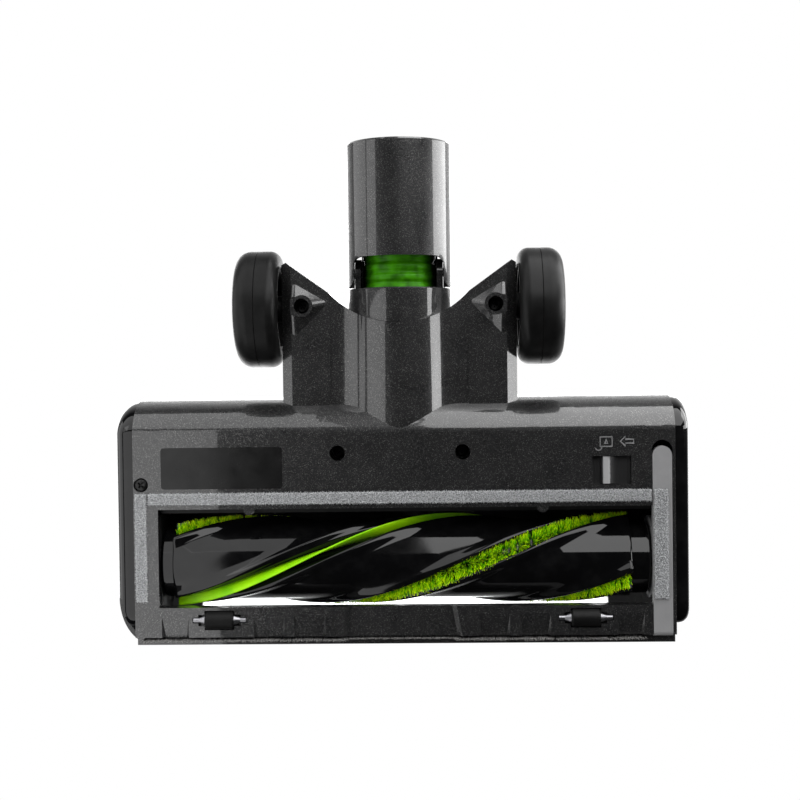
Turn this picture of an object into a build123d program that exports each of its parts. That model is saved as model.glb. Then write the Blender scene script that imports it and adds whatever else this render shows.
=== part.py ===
from build123d import *
import math
import os

# Motorised floor head of a stick vacuum cleaner, with its neck and wand tube lying flat behind it.
# X runs across the head (+X is the belt side), Y to the rear, Z up from the floor. Lengths in millimetres.
# Places along Y are measured from the front edge of the sole. The pieces move to the origin at the end.

# Housing
body_width = 250.0
body_depth = 104.0
body_height = 48.5
sole_height = 3.0
wall = 2.4
drive_cap_width = 8.3
release_cap_width = 6.2
release_wall = 1.2
rear_round = 15.2
nose_radius = 24.0
nose_reach = 4.0
cover_front = 36.0
window_glass = 2.0
cap_wall = 2.0
cap_inset = 1.0
cap_front = 3.6
drive_cap_round = 7.0
release_cap_round = 4.6
corner_start = 6.0
cap_chin = 8.0
roof_gap = 1.2

# Clearances
running_gap = 0.3
seat_gap = 0.1
shaft_gap = 0.06
press_gap = 0.02

# Mouth and front lip
mouth_front = 13.0
mouth_rear = 56.0
drive_bay = 19.0
lip_height = 6.4
lip_ledge = 2.0
channel_depth = 2.2
channel_reach = 9.5
channel_draft = 34.0
channel_spans = ((33.4, 46.9), (51.3, 64.6), (93.2, 105.0))
middle_channel_half = 23.5
middle_channel_flare = 3.1
middle_channel_depth = 2.6
middle_channel_draft = 38.0
mouth_tab_radius = 2.6
mouth_tab_places = (66.0, -61.5)

# Brush roll
brush_y = 31.5
bristle_height = 3.8
brush_floor_gap = 0.3
core_wall = 3.0
roll_end_gap = 0.6
helix_pitch = 255.0
land_height = 2.0
land_half_angle = 13.0
land_flank_angle = 12.0
slot_depth = 3.1
row_width = 4.4
row_splay = 1.2
blade_width = 2.4
blade_tip_width = 1.4
blade_short = 0.4
blade_angle = 66.0
row_angles = (194.0, -46.0)
roll_end_step = 0.6
roll_end_length = 5.4
plug_length = 6.0
chamber_gap = 2.1
liner_wall = 1.7

# Drive of the brush
dog_across_flats = 12.0
drive_shaft_radius = 4.0
drive_bearing_radius = 11.0
drive_bearing_width = 7.0
idle_pin_radius = 3.0
idle_bearing_radius = 8.0
idle_bearing_width = 5.0
idle_seat_floor = 0.7
bearing_shell = 2.1
pulley_radius = 11.0
motor_pulley_radius = 5.0
pulley_width = 7.0
pulley_flange = 1.4
belt_thickness = 1.2
belt_gap = 0.25
belt_ribs = 3
belt_rib_pitch = 1.8
belt_rib_width = 0.9
belt_rib_height = 0.8
motor_z = 28.0
motor_radius = 14.0
motor_setback = 4.0
motor_tail_room = 11.95
motor_boss_radius = 5.0
motor_boss_length = 2.5
motor_shaft_radius = 1.6
motor_shaft_grip = 2.7
motor_tail_length = 3.0
terminal_width = 3.0
terminal_length = 5.0
terminal_thickness = 0.8
cradle_thickness = 3.0
cradle_front = 7.3
cradle_rear = 14.7

# Brush end cover and its latch
cover_bar_width = 8.4
cover_bar_thickness = 4.0
cover_bar_front = -0.7
cover_bar_past_latch = 10.25
cover_plate = 2.8
finger_gap = 2.6
latch_behind_felt = 1.9
latch_window_depth = 12.3
latch_window_width = 16.7
latch_inset = 19.0
latch_travel = 3.5
latch_plate = 2.2
latch_overlap = 0.9
latch_bolt_width = 5.0
latch_bolt_height = 2.4
latch_rib_inset = 4.2
latch_rib_width = 2.7
spring_strip = 0.5
spring_rise = 9.9

# Felt strips and front fringe
felt_width = 5.6
release_felt_width = 6.6
felt_thickness = 1.1
felt_gap = 1.8
felt_side_front = 15.4
fringe_front = -2.5
fringe_thickness = 1.8
fringe_floor_gap = 1.2
fringe_middle_lift = 3.0

# Front rollers
roller_x = 79.7
roller_y = 7.5
roller_radius = 3.95
roller_length = 12.5
roller_axle_length = 23.0
roller_axle_radius = 1.2
roller_cone_radius = 2.2
roller_cone_end = 9.0
roller_core_radius = 1.6

# Neck and swivel collar
neck_bore = 23.6
neck_wall = 2.0
neck_rise = 0.2
saddle_y = 136.5
saddle_end_x = 31.0
saddle_end_y = 150.2
neck_groove = 1.3
collar_wall = 2.6
collar_front = 112.0
collar_rear = 152.0
collar_flange_y = 117.0
collar_flange_width = 2.6
collar_flange_height = 1.1
collar_notch_angle = 49.0
hose_sleeve_wall = 1.8
hose_sleeve_length = 15.0

# Air duct and hose
duct_roof_gap = 1.9
duct_wall = 1.8
duct_engagement = 4.5
hose_step = 0.2
hose_ridge_height = 1.5
hose_wall = 1.5
hose_swell = 1.2
hose_cuff_length = 9.5
hose_pitch = 4.7
hose_ridges = 10

# Wand tube and its hinge
hinge_y = 159.5
tube_radius = 23.5
tube_wall = 2.6
tube_gap = 0.4
tube_end = 217.0
tube_notch_angle = 44.0
tube_window_half = 20.0
tube_window_rear = 165.8
tube_window_round = 3.8
tube_ear_round = 4.0
ear_radius = 6.8
lug_radius = 6.2
lug_thickness = 2.6
lug_clearance = 0.35
hinge_pin_radius = 2.0
socket_radius = 18.5
socket_floor = 186.0
socket_lead_in = 1.2
catch_slot_y = 206.0
catch_slot_width = 9.0
catch_slot_length = 5.0
contact_radius = 1.0
contact_spacing = 10.0

# Wheel arms and rear wheels
arm_outer = 51.8
arm_inner = 30.3
arm_floor = 12.4
arm_step = 0.6
arm_bevel_width = 4.4
arm_bevel_height = 3.1
arm_top = 39.0
arm_tip_y = 163.7
arm_tip_width = 2.0
arm_tip_bevel = 1.0
arm_root_fillet = 16.0
arm_boss_floor = 8.0
arm_boss_flat = 5.0
arm_screw_x = 42.45
arm_screw_y = 144.2
wheel_y = 143.7
wheel_radius = 26.0
wheel_width = 19.8
wheel_gap = 1.0
tyre_bore = 19.0
tyre_round = 4.8
tyre_outer_round = 6.6
tyre_seam = 0.25
axle_radius = 2.5
axle_grip = 5.4
axle_head_radius = 5.0
axle_head = 1.5
hub_cap_radius = 12.0

# Fasteners and circuit board
screw_x = 27.2
screw_hole = 3.35
screw_head_radius = 2.9
screw_head = 2.4
screw_radius = 1.45
screw_seat_z = 18.0
screw_length = 17.0
boss_wall = 1.5
cap_screw_inset = 3.4
cap_screw_behind_felt = 3.5
cap_tab_half = 4.0
cap_tab_height = 6.5
cap_screw_head_radius = 3.1
board_inset = 60.8
board_shift = 2.0
board_width = 40.0
board_depth = 20.0
board_thickness = 1.6
board_z = 14.0
board_post_radius = 2.5
board_post_inset = 4.0
plug_width = 9.0
plug_depth = 6.0
plug_height = 6.0
plug_margin = 3.0
capacitor_radius = 4.0
capacitor_height = 10.0
capacitor_margin = 10.0
chip_size = 7.0
chip_height = 1.4

# Places that follow from the sizes above
drive_side = body_width / 2 - drive_cap_width
release_side = release_cap_width - body_width / 2
rear_flat = body_depth - rear_round
neck_start = rear_flat - 2 * wall
mouth_drive_end = body_width / 2 - drive_bay
neck_outer = neck_bore + neck_wall
neck_z = sole_height + neck_rise + neck_outer
split_z = neck_z
chamber_top = body_height - wall - roof_gap
brush_tip_radius = (chamber_top - liner_wall - chamber_gap - brush_floor_gap) / 2
brush_z = brush_tip_radius + brush_floor_gap
core_radius = brush_tip_radius - bristle_height
core_bore = core_radius - core_wall
blade_tip_radius = brush_tip_radius - blade_short
roll_end_radius = core_radius - roll_end_step
chamber_radius = brush_tip_radius + chamber_gap
lip_top = sole_height + lip_height
floor_top = sole_height + wall
collar_radius = neck_bore - running_gap
duct_radius = body_height - wall - duct_roof_gap - neck_z
hose_radius = duct_radius - hose_step
hose_root_radius = hose_radius - hose_ridge_height
hose_bore = hose_root_radius - hose_wall
tube_front = collar_rear + tube_gap
felt_rear_y = mouth_rear + felt_gap
felt_end_y = felt_rear_y + felt_width
latch_y = felt_end_y + latch_behind_felt + latch_window_depth / 2
latch_window_far = release_side + latch_inset
latch_window_near = latch_window_far + latch_window_width
latch_rib_near = latch_window_near - latch_rib_inset
cover_bar_rear = latch_y + cover_bar_past_latch
bar_outer = release_side + release_wall + running_gap
bar_inner = bar_outer + cover_bar_width
bar_top = sole_height + cover_bar_thickness
plate_inner = bar_inner - running_gap
plate_outer = plate_inner - cover_plate
roll_half = mouth_drive_end - roll_end_gap - roll_end_length
core_length = 2 * roll_half
pulley_start = mouth_drive_end + seat_gap + drive_bearing_width + 1.0
corner_end = brush_y - pulley_radius - pulley_flange - cap_wall - 2 * running_gap
wheel_inner = arm_outer + wheel_gap
wheel_outer = wheel_inner + wheel_width
boss_radius = screw_hole + boss_wall
motor_y = (mouth_rear + body_depth) / 2
motor_front = mouth_drive_end - motor_setback
motor_back = screw_x + boss_radius + motor_tail_room
screw_y = motor_y
cap_screw_x = drive_side - cap_screw_inset
cap_screw_y = felt_end_y + cap_screw_behind_felt
board_x = release_side + board_inset
board_y = motor_y + board_shift
origin_y = (tube_end - nose_reach) / 2


def box(x0, x1, y0, y1, z0, z1):
    middle = Pos((x0 + x1) / 2, (y0 + y1) / 2, (z0 + z1) / 2)
    return middle * Box(abs(x1 - x0), abs(y1 - y0), abs(z1 - z0))


def polygon(*points):
    return make_face(Polyline(*points, close=True))


def along_x(profile, x0, x1):
    return extrude(Plane.YZ.offset(x0) * profile, amount=x1 - x0, dir=(1, 0, 0))


def along_y(profile, y0, y1):
    return extrude(Plane.XZ.offset(-y0) * profile, amount=y1 - y0, dir=(0, 1, 0))


def along_z(profile, z0, z1):
    return extrude(Plane.XY.offset(z0) * profile, amount=z1 - z0, dir=(0, 0, 1))


def rod_x(x0, x1, y, z, radius):
    return along_x(Pos(y, z) * Circle(radius), x0, x1)


def rod_y(y0, y1, x, z, radius):
    return along_y(Pos(x, z) * Circle(radius), y0, y1)


def rod_z(z0, z1, x, y, radius):
    return along_z(Pos(x, y) * Circle(radius), z0, z1)


def turned_x(y, z, *points):
    return Pos(0, y, z) * revolve(Plane.XZ * polygon(*points), axis=Axis.X)


def turned_y(*points):
    return Pos(0, 0, neck_z) * revolve(polygon(*points), axis=Axis.Y)


def mirrored(shape):
    return shape + mirror(shape, about=Plane.YZ)


def base_outline(inset, front):
    low = sole_height + inset
    back = EllipticalCenterArc((rear_flat, split_z), rear_round - inset, split_z - low, 270, arc_size=90)
    return make_face([
        Line((front, low), (rear_flat, low)),
        back,
        Line((body_depth - inset, split_z), (front, split_z)),
        Line((front, split_z), (front, low)),
    ])


def cover_outline(inset, front):
    high = body_height - inset
    back = EllipticalCenterArc((rear_flat, split_z), rear_round - inset, high - split_z, 0, arc_size=90)
    return make_face([
        Line((front, split_z), (body_depth - inset, split_z)),
        back,
        Line((rear_flat, high), (front, high)),
        Line((front, high), (front, split_z)),
    ])


def neck_plan():
    saddle = ThreePointArc((saddle_end_x, saddle_end_y), (0, saddle_y), (-saddle_end_x, saddle_end_y))
    tip = arm_outer - arm_tip_width
    low = arm_tip_y - arm_tip_bevel
    end = (saddle_end_x, saddle_end_y)
    right = Polyline((arm_outer, neck_start), (arm_outer, low), (tip, arm_tip_y), end)
    left = mirror(right, about=Plane.YZ)
    front = Line((-arm_outer, neck_start), (arm_outer, neck_start))
    return make_face([*right.edges(), saddle, *left.edges(), front])


def arm_pocket_plan():
    inner = arm_inner + wall
    outer = arm_outer - wall
    run = arm_outer - arm_tip_width - saddle_end_x
    rise = arm_tip_y - saddle_end_y
    setback = wall * math.hypot(run, rise) / run

    def rear(x):
        return saddle_end_y + (x - saddle_end_x) * rise / run - setback

    front = body_depth + wall
    return polygon((inner, front), (outer, front), (outer, rear(outer)), (inner, rear(inner)))


def half_pipe(z0, z1):
    pipe = rod_y(neck_start, arm_tip_y, 0, neck_z, neck_outer)
    return pipe & box(-neck_outer, neck_outer, neck_start, arm_tip_y, z0, z1)


def lower_neck():
    bevel_x = arm_outer - arm_bevel_width
    bevel_z = arm_floor + arm_bevel_height
    web_z = arm_floor + arm_step
    arm = along_y(
        polygon(
            (0, split_z),
            (arm_outer, split_z),
            (arm_outer, bevel_z),
            (bevel_x, arm_floor),
            (arm_inner, arm_floor),
            (arm_inner, web_z),
            (0, web_z),
        ),
        neck_start,
        arm_tip_y,
    )
    neck = mirrored(arm) + half_pipe(0, split_z)
    root_x = math.sqrt(neck_outer**2 - (neck_z - web_z) ** 2)
    lines = neck.edges().filter_by(Axis.Y)
    roots = [lines.sort_by_distance((side * root_x, saddle_y, web_z))[0] for side in (1, -1)]
    return fillet(roots, arm_root_fillet) & along_z(neck_plan(), 0, split_z)


def upper_neck():
    shoulder = arm_top - arm_bevel_height
    arm = along_y(
        polygon(
            (0, split_z),
            (arm_outer, split_z),
            (arm_outer, shoulder),
            (arm_outer - arm_bevel_height, arm_top),
            (arm_screw_x, arm_top),
            (saddle_end_x, split_z + wall),
            (0, split_z + wall),
        ),
        neck_start,
        arm_tip_y,
    )
    top = neck_z + neck_outer
    neck = mirrored(arm) + half_pipe(split_z, top)
    neck -= above_brow(body_height, top)
    return neck & along_z(neck_plan(), split_z, top)


def above_brow(low, high):
    top = neck_z + 2 * neck_outer
    end = body_depth + wall
    brow = polygon((0, low), (neck_start, low), (end, high), (end, top), (0, top))
    return along_x(brow, -2 * neck_outer, 2 * neck_outer)


def neck_bore_cut():
    bore = rod_y(rear_flat, tube_end, 0, neck_z, neck_bore)
    groove_y = collar_flange_y - running_gap
    groove_end = collar_flange_y + collar_flange_width + running_gap
    return bore + rod_y(groove_y, groove_end, 0, neck_z, neck_bore + neck_groove)


def arm_triangle():
    corners = polygon(
        (arm_outer - arm_bevel_width, wheel_y + 11.4),
        (arm_outer - arm_bevel_width, wheel_y - 14.3),
        (arm_inner + 0.8, arm_screw_y + 1.6),
    )
    flat = arm_boss_flat
    edge = arm_outer - arm_bevel_width
    face = polygon((edge, arm_screw_y + flat), (edge, arm_screw_y - flat), (arm_screw_x - 1.2 * flat, arm_screw_y))
    foot = Plane.XY.offset(arm_floor) * fillet(corners.vertices(), 1.6)
    crown = Plane.XY.offset(arm_boss_floor) * fillet(face.vertices(), 1.6)
    return loft([crown, foot], ruled=True) + extrude(foot, amount=wall, dir=(0, 0, 1))


def screw_tower(x, y, z0):
    return rod_z(z0, split_z - seat_gap, x, y, boss_radius)


def screw_bore(x, y):
    recess = rod_z(0, screw_seat_z, x, y, screw_hole)
    return recess + rod_z(0, split_z, x, y, screw_radius + shaft_gap)


def roller_pocket(x):
    half = roller_length / 2 + running_gap
    pin_half = roller_axle_length / 2 + running_gap
    depth = roller_radius * 2 + running_gap
    room = roller_radius + running_gap
    slot = roller_axle_radius + shaft_gap
    cone = roller_cone_radius + running_gap
    cone_half = roller_cone_end + running_gap
    pocket = box(x - half, x + half, roller_y - room, roller_y + room, 0, depth)
    pocket += box(x - cone_half, x + cone_half, roller_y - cone, roller_y + cone, 0, roller_radius + cone)
    pocket += box(x - pin_half, x + pin_half, roller_y - slot, roller_y + slot, 0, roller_radius + slot)
    return pocket


def lip():
    ledge = lip_top - lip_ledge
    profile = polygon(
        (0, sole_height),
        (mouth_front, sole_height),
        (mouth_front, lip_top),
        (-nose_reach, lip_top),
        (-nose_reach, ledge),
        (0, ledge),
    )
    bar = along_x(profile, release_side, drive_side)
    ramp = polygon((-1, sole_height - 1), (channel_reach, sole_height), (-1, sole_height + channel_depth))
    for start, stop in channel_spans:
        plan = polygon((start, -2), (stop, -2), (stop, channel_reach + 1), (start, channel_reach + 1))
        mouth = extrude(Plane.XY.offset(sole_height) * plan, amount=channel_depth, dir=(0, 0, 1), taper=channel_draft)
        bar -= mirrored(mouth & along_x(ramp, start, stop))
    flare = middle_channel_half + middle_channel_flare
    half = middle_channel_half
    plan = polygon((-flare, -2), (flare, -2), (half, mouth_front + 2), (-half, mouth_front + 2))
    floor = Plane.XY.offset(sole_height) * plan
    bar -= extrude(floor, amount=middle_channel_depth, dir=(0, 0, 1), taper=middle_channel_draft)
    for side in (1, -1):
        bar -= roller_pocket(side * roller_x)
    return bar


def latch_rails():
    edge = latch_window_depth / 2 + latch_overlap + running_gap
    plate_top = floor_top + seat_gap + latch_plate
    start = latch_window_far - latch_travel
    stop = latch_window_near + latch_travel
    rails = None
    for side in (1, -1):
        inner = latch_y + side * edge
        outer = inner + side * 1.5
        over = inner - side * latch_overlap
        rail = box(start, stop, inner, outer, floor_top - 0.2, plate_top + 1.5)
        rail += box(start, stop, over, outer, plate_top + running_gap, plate_top + 1.5)
        rails = rail if rails is None else rails + rail
    post_x = latch_window_near + latch_travel + spring_rise + running_gap
    post = box(post_x, post_x + wall, latch_y - edge, latch_y + edge, floor_top - 0.2, plate_top + 1.0)
    return rails + post


def motor_cradles():
    cradles = None
    half = cradle_thickness / 2
    for x in (motor_front - cradle_front, motor_back + cradle_rear):
        front = motor_y - motor_radius
        plate = box(x - half, x + half, front, front + 2 * motor_radius, floor_top - 0.2, motor_z)
        plate -= rod_x(x - half, x + half, motor_y, motor_z, motor_radius + seat_gap)
        cradles = plate if cradles is None else cradles + plate
    return cradles


def board_posts():
    posts = None
    for side in (1, -1):
        x = board_x + side * (board_width / 2 - board_post_inset)
        post = rod_z(floor_top - 0.2, board_z - seat_gap, x, board_y, board_post_radius)
        posts = post if posts is None else posts + post
    return posts


def base_shell():
    shell = along_x(base_outline(0, mouth_rear), release_side, drive_side)
    shell += lower_neck()
    shell += mirrored(arm_triangle())
    inside = base_outline(wall, mouth_rear + wall)
    shell -= along_x(inside, release_side + release_wall, mouth_drive_end)
    shell -= along_x(inside, mouth_drive_end + wall, drive_side + 1)
    bay = mouth_drive_end + wall
    shell -= box(bay, drive_side + 1, mouth_rear - 1, mouth_rear + 2 * wall, floor_top, split_z)
    pocket = along_z(arm_pocket_plan(), arm_floor + wall, split_z)
    shell -= mirrored(pocket)
    shell += lip()
    shell += box(mouth_drive_end, drive_side, 0.5, mouth_rear + 1, sole_height, floor_top)
    side_wall = along_x(base_outline(0, 0), release_side, release_side + release_wall)
    shell += side_wall - box(release_side - 1, 0, -9, mouth_front, lip_top, body_height)
    for x in mouth_tab_places:
        shell += rod_z(sole_height, floor_top, x, mouth_rear, mouth_tab_radius)
    shell += mirrored(screw_tower(screw_x, screw_y, sole_height))
    axle_boss = rod_x(arm_outer - axle_grip, arm_outer, wheel_y, wheel_radius, 2 * axle_radius)
    lower_half = box(-body_width, body_width, 0, tube_end, 0, split_z)
    arm_towers = screw_tower(arm_screw_x, arm_screw_y, arm_boss_floor) + (axle_boss & lower_half)
    shell += mirrored(arm_towers)
    shell += latch_rails() + motor_cradles() + board_posts()
    shell -= neck_bore_cut()
    shell -= mirrored(screw_bore(screw_x, screw_y) + screw_bore(arm_screw_x, arm_screw_y))
    hole_start = arm_outer - axle_grip - 1
    axle_hole = rod_x(hole_start, arm_outer + 1, wheel_y, wheel_radius, axle_radius + press_gap)
    shell -= mirrored(axle_hole)
    shell -= rod_y(mouth_rear - 1, mouth_rear + wall + 1, 0, neck_z, duct_radius + seat_gap)
    slot_half = cover_bar_width / 2 + running_gap
    slot_x = (bar_inner + bar_outer) / 2
    slot_end = cover_bar_rear + finger_gap - slot_half
    slot_top = bar_top + running_gap
    shell -= box(slot_x - slot_half, slot_x + slot_half, -9, slot_end, 0, slot_top)
    shell -= rod_z(0, slot_top, slot_x, slot_end, slot_half)
    depth = latch_window_depth / 2
    shell -= box(latch_window_far, latch_window_near, latch_y - depth, latch_y + depth, 0, floor_top)
    shell -= rod_x(mouth_drive_end - 1, mouth_drive_end + wall + 1, motor_y, motor_z, motor_boss_radius + 1)
    shell -= rod_z(0, sole_height + 1.3, cap_screw_x, cap_screw_y, cap_screw_head_radius + seat_gap)
    shell -= rod_z(0, floor_top + 1, cap_screw_x, cap_screw_y, screw_radius + shaft_gap)
    return shell


def top_cover():
    shell = along_x(cover_outline(0, cover_front), release_side, drive_side)
    shell += upper_neck()
    inside = cover_outline(wall, cover_front - 1)
    shell -= along_x(inside, release_side + release_wall, drive_side + 1)
    pocket = along_z(arm_pocket_plan(), split_z, arm_top)
    hollow = polygon(
        (arm_inner + wall + 2, split_z),
        (arm_outer - wall, split_z),
        (arm_outer - wall, arm_top - arm_bevel_height - 1),
        (arm_outer - arm_bevel_height - 1, arm_top - wall),
        (arm_screw_x + 1, arm_top - wall),
        (arm_inner + wall + 2, split_z + wall),
    )
    shell -= mirrored(pocket & along_y(hollow, neck_start, arm_tip_y))
    towers = rod_z(split_z + seat_gap, body_height - wall + 0.2, screw_x, screw_y, boss_radius)
    towers += rod_z(split_z + seat_gap, arm_top - wall + 0.2, arm_screw_x, arm_screw_y, screw_hole)
    shell += mirrored(towers)
    shell -= neck_bore_cut() - above_brow(body_height - wall, neck_z + neck_bore)
    pilot_top = screw_seat_z + screw_length + 0.5
    pilots = rod_z(split_z, pilot_top, screw_x, screw_y, screw_radius + press_gap)
    pilots += rod_z(split_z, pilot_top, arm_screw_x, arm_screw_y, screw_radius + press_gap)
    shell -= mirrored(pilots)
    return shell


def nose_outline(inset):
    centre_y = nose_radius - nose_reach
    centre_z = body_height - nose_radius
    radius = nose_radius - inset
    return make_face([
        Line((cover_front, body_height - inset), (centre_y, body_height - inset)),
        CenterArc((centre_y, centre_z), radius, 90, 90),
        Line((inset - nose_reach, centre_z), (inset - nose_reach, lip_top + seat_gap)),
        Line((inset - nose_reach, lip_top + seat_gap), (cover_front, lip_top + seat_gap)),
        Line((cover_front, lip_top + seat_gap), (cover_front, body_height - inset)),
    ])


def clear_window():
    band = nose_outline(0) - nose_outline(window_glass)
    pane = along_x(band, release_side, drive_side)
    edge = cover_front - seat_gap
    pane -= box(release_side - 1, drive_side + 1, edge, edge + wall, 0, body_height + 1)
    pane &= along_z(behind_corner(0, 0), 0, body_height)
    bend = along_z(behind_corner(0, 0) - behind_corner(window_glass, 0), lip_top + seat_gap, body_height - nose_radius / 2)
    bend &= box(drive_side - corner_start, body_width / 2, -nose_reach - 1, corner_end, 0, body_height)
    return pane + (bend & along_x(nose_outline(0), 0, body_width))


def behind_corner(inset, gap):
    start = drive_side - corner_start
    reach = body_width / 2 - start - inset
    depth = corner_end + nose_reach - inset
    ring = Pos(start, corner_end) * Ellipse(reach, depth)
    side = Pos(start - body_width / 2, corner_end - depth / 2) * Rectangle(body_width, depth)
    rear = Pos(0, corner_end + gap + body_depth) * Rectangle(2 * body_width, 2 * body_depth)
    return ring + side + rear


def cap_outline(inset):
    low = sole_height + cap_inset / 2 + inset
    high = body_height - cap_inset - inset
    front = cap_front + inset
    back = cap_inset + inset
    corner = cap_chin - inset
    nose = nose_radius - nose_reach
    lower = EllipticalCenterArc((rear_flat, split_z), rear_round - back, split_z - low, 270, arc_size=90)
    upper = EllipticalCenterArc((rear_flat, split_z), rear_round - back, high - split_z, 0, arc_size=90)
    nose_arc = EllipticalCenterArc((nose, split_z), nose - front, high - split_z, 90, arc_size=90)
    chin = EllipticalCenterArc((corner + front, low + corner), corner, corner, 180, arc_size=90)
    return make_face([
        Line((corner + front, low), (rear_flat, low)),
        lower,
        upper,
        Line((rear_flat, high), (nose, high)),
        nose_arc,
        Line((front, split_z), (front, low + corner)),
        chin,
    ])


def end_cap(inner, outer, edge_round):
    step = math.copysign(1, outer)
    face = outer - step * cap_wall
    solid = along_x(cap_outline(0), min(inner, outer), max(inner, outer))
    rim = solid.faces().sort_by(Axis.X)[-1 if step > 0 else 0].edges()
    solid = fillet(rim, edge_round)
    cavity = along_x(cap_outline(cap_wall), min(inner, face) - 1, max(inner, face) + 1)
    mouth = box(inner - step, face, -9, body_depth, 0, body_height)
    hollow = cavity & mouth
    floor_edge = hollow.faces().sort_by(Axis.X)[-1 if step > 0 else 0].edges()
    return solid, fillet(floor_edge, edge_round - cap_wall)


def drive_end_cap():
    solid, hollow = end_cap(drive_side + seat_gap, body_width / 2, drive_cap_round)
    shape = along_z(behind_corner(window_glass + running_gap, running_gap), 0, body_height)
    room = along_z(behind_corner(window_glass + running_gap + cap_wall, running_gap + cap_wall), 0, body_height)
    cap = (solid & shape) - (hollow & room)
    base = floor_top + seat_gap
    top = base + cap_tab_height
    inner = cap_screw_x - cap_tab_half
    outer = drive_side + cap_tab_half
    front = cap_screw_y - cap_tab_half
    back = cap_screw_y + cap_tab_half
    tab = box(inner, outer, front, back, base, top)
    tab += box(drive_side + 1, outer, front, back, sole_height + 1.5, top)
    return cap + tab - rod_z(0, top - 0.5, cap_screw_x, cap_screw_y, screw_radius + press_gap)


def release_end_cap():
    solid, hollow = end_cap(release_side - seat_gap, -body_width / 2, release_cap_round)
    return solid - hollow


def brush_chamber():
    outer = chamber_radius + liner_wall
    ring = Pos(brush_y, brush_z) * (Circle(outer) - Circle(chamber_radius))
    rear = Pos(brush_y + body_depth / 2 - 2, brush_z + body_depth / 2) * Rectangle(body_depth, body_depth)
    skirt_z = floor_top + wall
    skirt = polygon(
        (brush_y + chamber_radius, skirt_z),
        (brush_y + outer, skirt_z),
        (brush_y + outer, brush_z),
        (brush_y + chamber_radius, brush_z),
    )
    liner = along_x((ring & rear) + skirt, bar_inner + seat_gap, mouth_drive_end)
    end_disc = Pos(brush_y, brush_z) * Circle(outer)
    above = Pos(brush_y, lip_top + seat_gap + outer) * Rectangle(4 * outer, 2 * outer)
    liner += along_x(end_disc & above, mouth_drive_end, mouth_drive_end + liner_wall)
    seat_end = mouth_drive_end + seat_gap + drive_bearing_width
    bearing_seat = drive_bearing_radius + 0.03
    liner += rod_x(mouth_drive_end, seat_end, brush_y, brush_z, bearing_seat + bearing_shell)
    liner -= rod_x(mouth_drive_end + seat_gap, seat_end + 1, brush_y, brush_z, bearing_seat)
    liner -= rod_x(mouth_drive_end - 1, seat_end, brush_y, brush_z, drive_bearing_radius - bearing_shell)
    return liner - rod_y(brush_y, mouth_rear + wall, 0, neck_z, duct_radius - duct_wall)


def air_duct():
    end = collar_front + duct_engagement
    pipe = rod_y(brush_y, end, 0, neck_z, duct_radius)
    pipe -= rod_y(brush_y - 1, end + 1, 0, neck_z, duct_radius - duct_wall)
    reach = chamber_radius + liner_wall + seat_gap
    pipe -= rod_x(-body_width, body_width, brush_y, brush_z, reach)
    pipe -= box(-body_width, body_width, 0, brush_y + reach, 0, brush_z)
    return pipe - box(-body_width, body_width, 0, brush_y + reach * 0.6, 0, 2 * body_height)


def helical(profile):
    turn = -360 * core_length / helix_pitch
    start = Plane.YZ.offset(-roll_half) * (Rot(0, 0, -turn / 2) * profile)
    return Solid.extrude_linear_with_rotation(start.face(), (-roll_half, 0, 0), (core_length, 0, 0), turn)


def polar(radius, angle):
    return (radius * math.cos(math.radians(angle)), radius * math.sin(math.radians(angle)))


def strip_direction(angle):
    return angle - 90


def row_profile(angle):
    crest = core_radius + land_height
    root = crest - slot_depth + 0.05
    half = row_width / 2
    tip = half + row_splay / 2
    shape = polygon(
        (root, -half),
        (crest, -half),
        (brush_tip_radius, -tip),
        (brush_tip_radius, tip),
        (crest, half),
        (root, half),
    )
    return Rot(0, 0, strip_direction(angle)) * shape


def blade_profile(angle):
    root = core_radius + land_height - slot_depth
    half = blade_width / 2
    tip = blade_tip_width / 2
    outer = blade_tip_radius
    shape = polygon((root + 0.05, -half), (outer, -tip), (outer, tip), (root + 0.05, half))
    return Rot(0, 0, strip_direction(angle)) * shape


def core_profile():
    crest = core_radius + land_height
    root = crest - slot_depth
    edges = []
    strips = sorted([(blade_angle, blade_width)] + [(angle, row_width) for angle in row_angles])
    outline = []
    for angle, width in strips:
        middle = strip_direction(angle)
        half = width / 2 + seat_gap
        lip_angle = math.degrees(math.asin(half / crest))
        root_angle = math.degrees(math.asin(half / root))
        foot = land_half_angle + land_flank_angle
        outline.append((
            polar(core_radius, middle - foot),
            polar(crest, middle - land_half_angle),
            polar(crest, middle - (land_half_angle + lip_angle) / 2),
            polar(crest, middle - lip_angle),
            polar(root, middle - root_angle),
            polar(root, middle + root_angle),
            polar(crest, middle + lip_angle),
            polar(crest, middle + (land_half_angle + lip_angle) / 2),
            polar(crest, middle + land_half_angle),
            polar(core_radius, middle + foot),
        ))
    for place, points in enumerate(outline):
        after = outline[(place + 1) % len(outline)]
        angle = strip_direction(strips[place][0])
        next_angle = strip_direction(strips[(place + 1) % len(strips)][0])
        between = (angle + (angle + (next_angle - angle) % 360)) / 2
        edges.append(Line(points[0], points[1]))
        edges.append(ThreePointArc(points[1], points[2], points[3]))
        edges.append(Line(points[3], points[4]))
        edges.append(Line(points[4], points[5]))
        edges.append(Line(points[5], points[6]))
        edges.append(ThreePointArc(points[6], points[7], points[8]))
        edges.append(Line(points[8], points[9]))
        edges.append(ThreePointArc(points[9], polar(core_radius, between), after[0]))
    return make_face(edges)


def on_brush_axis(shape):
    return Pos(0, brush_y, brush_z) * shape


def brush_core():
    core = helical(core_profile())
    bore = rod_x(-roll_half - 1, roll_half + 1, 0, 0, core_bore)
    return on_brush_axis(core - bore)


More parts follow.
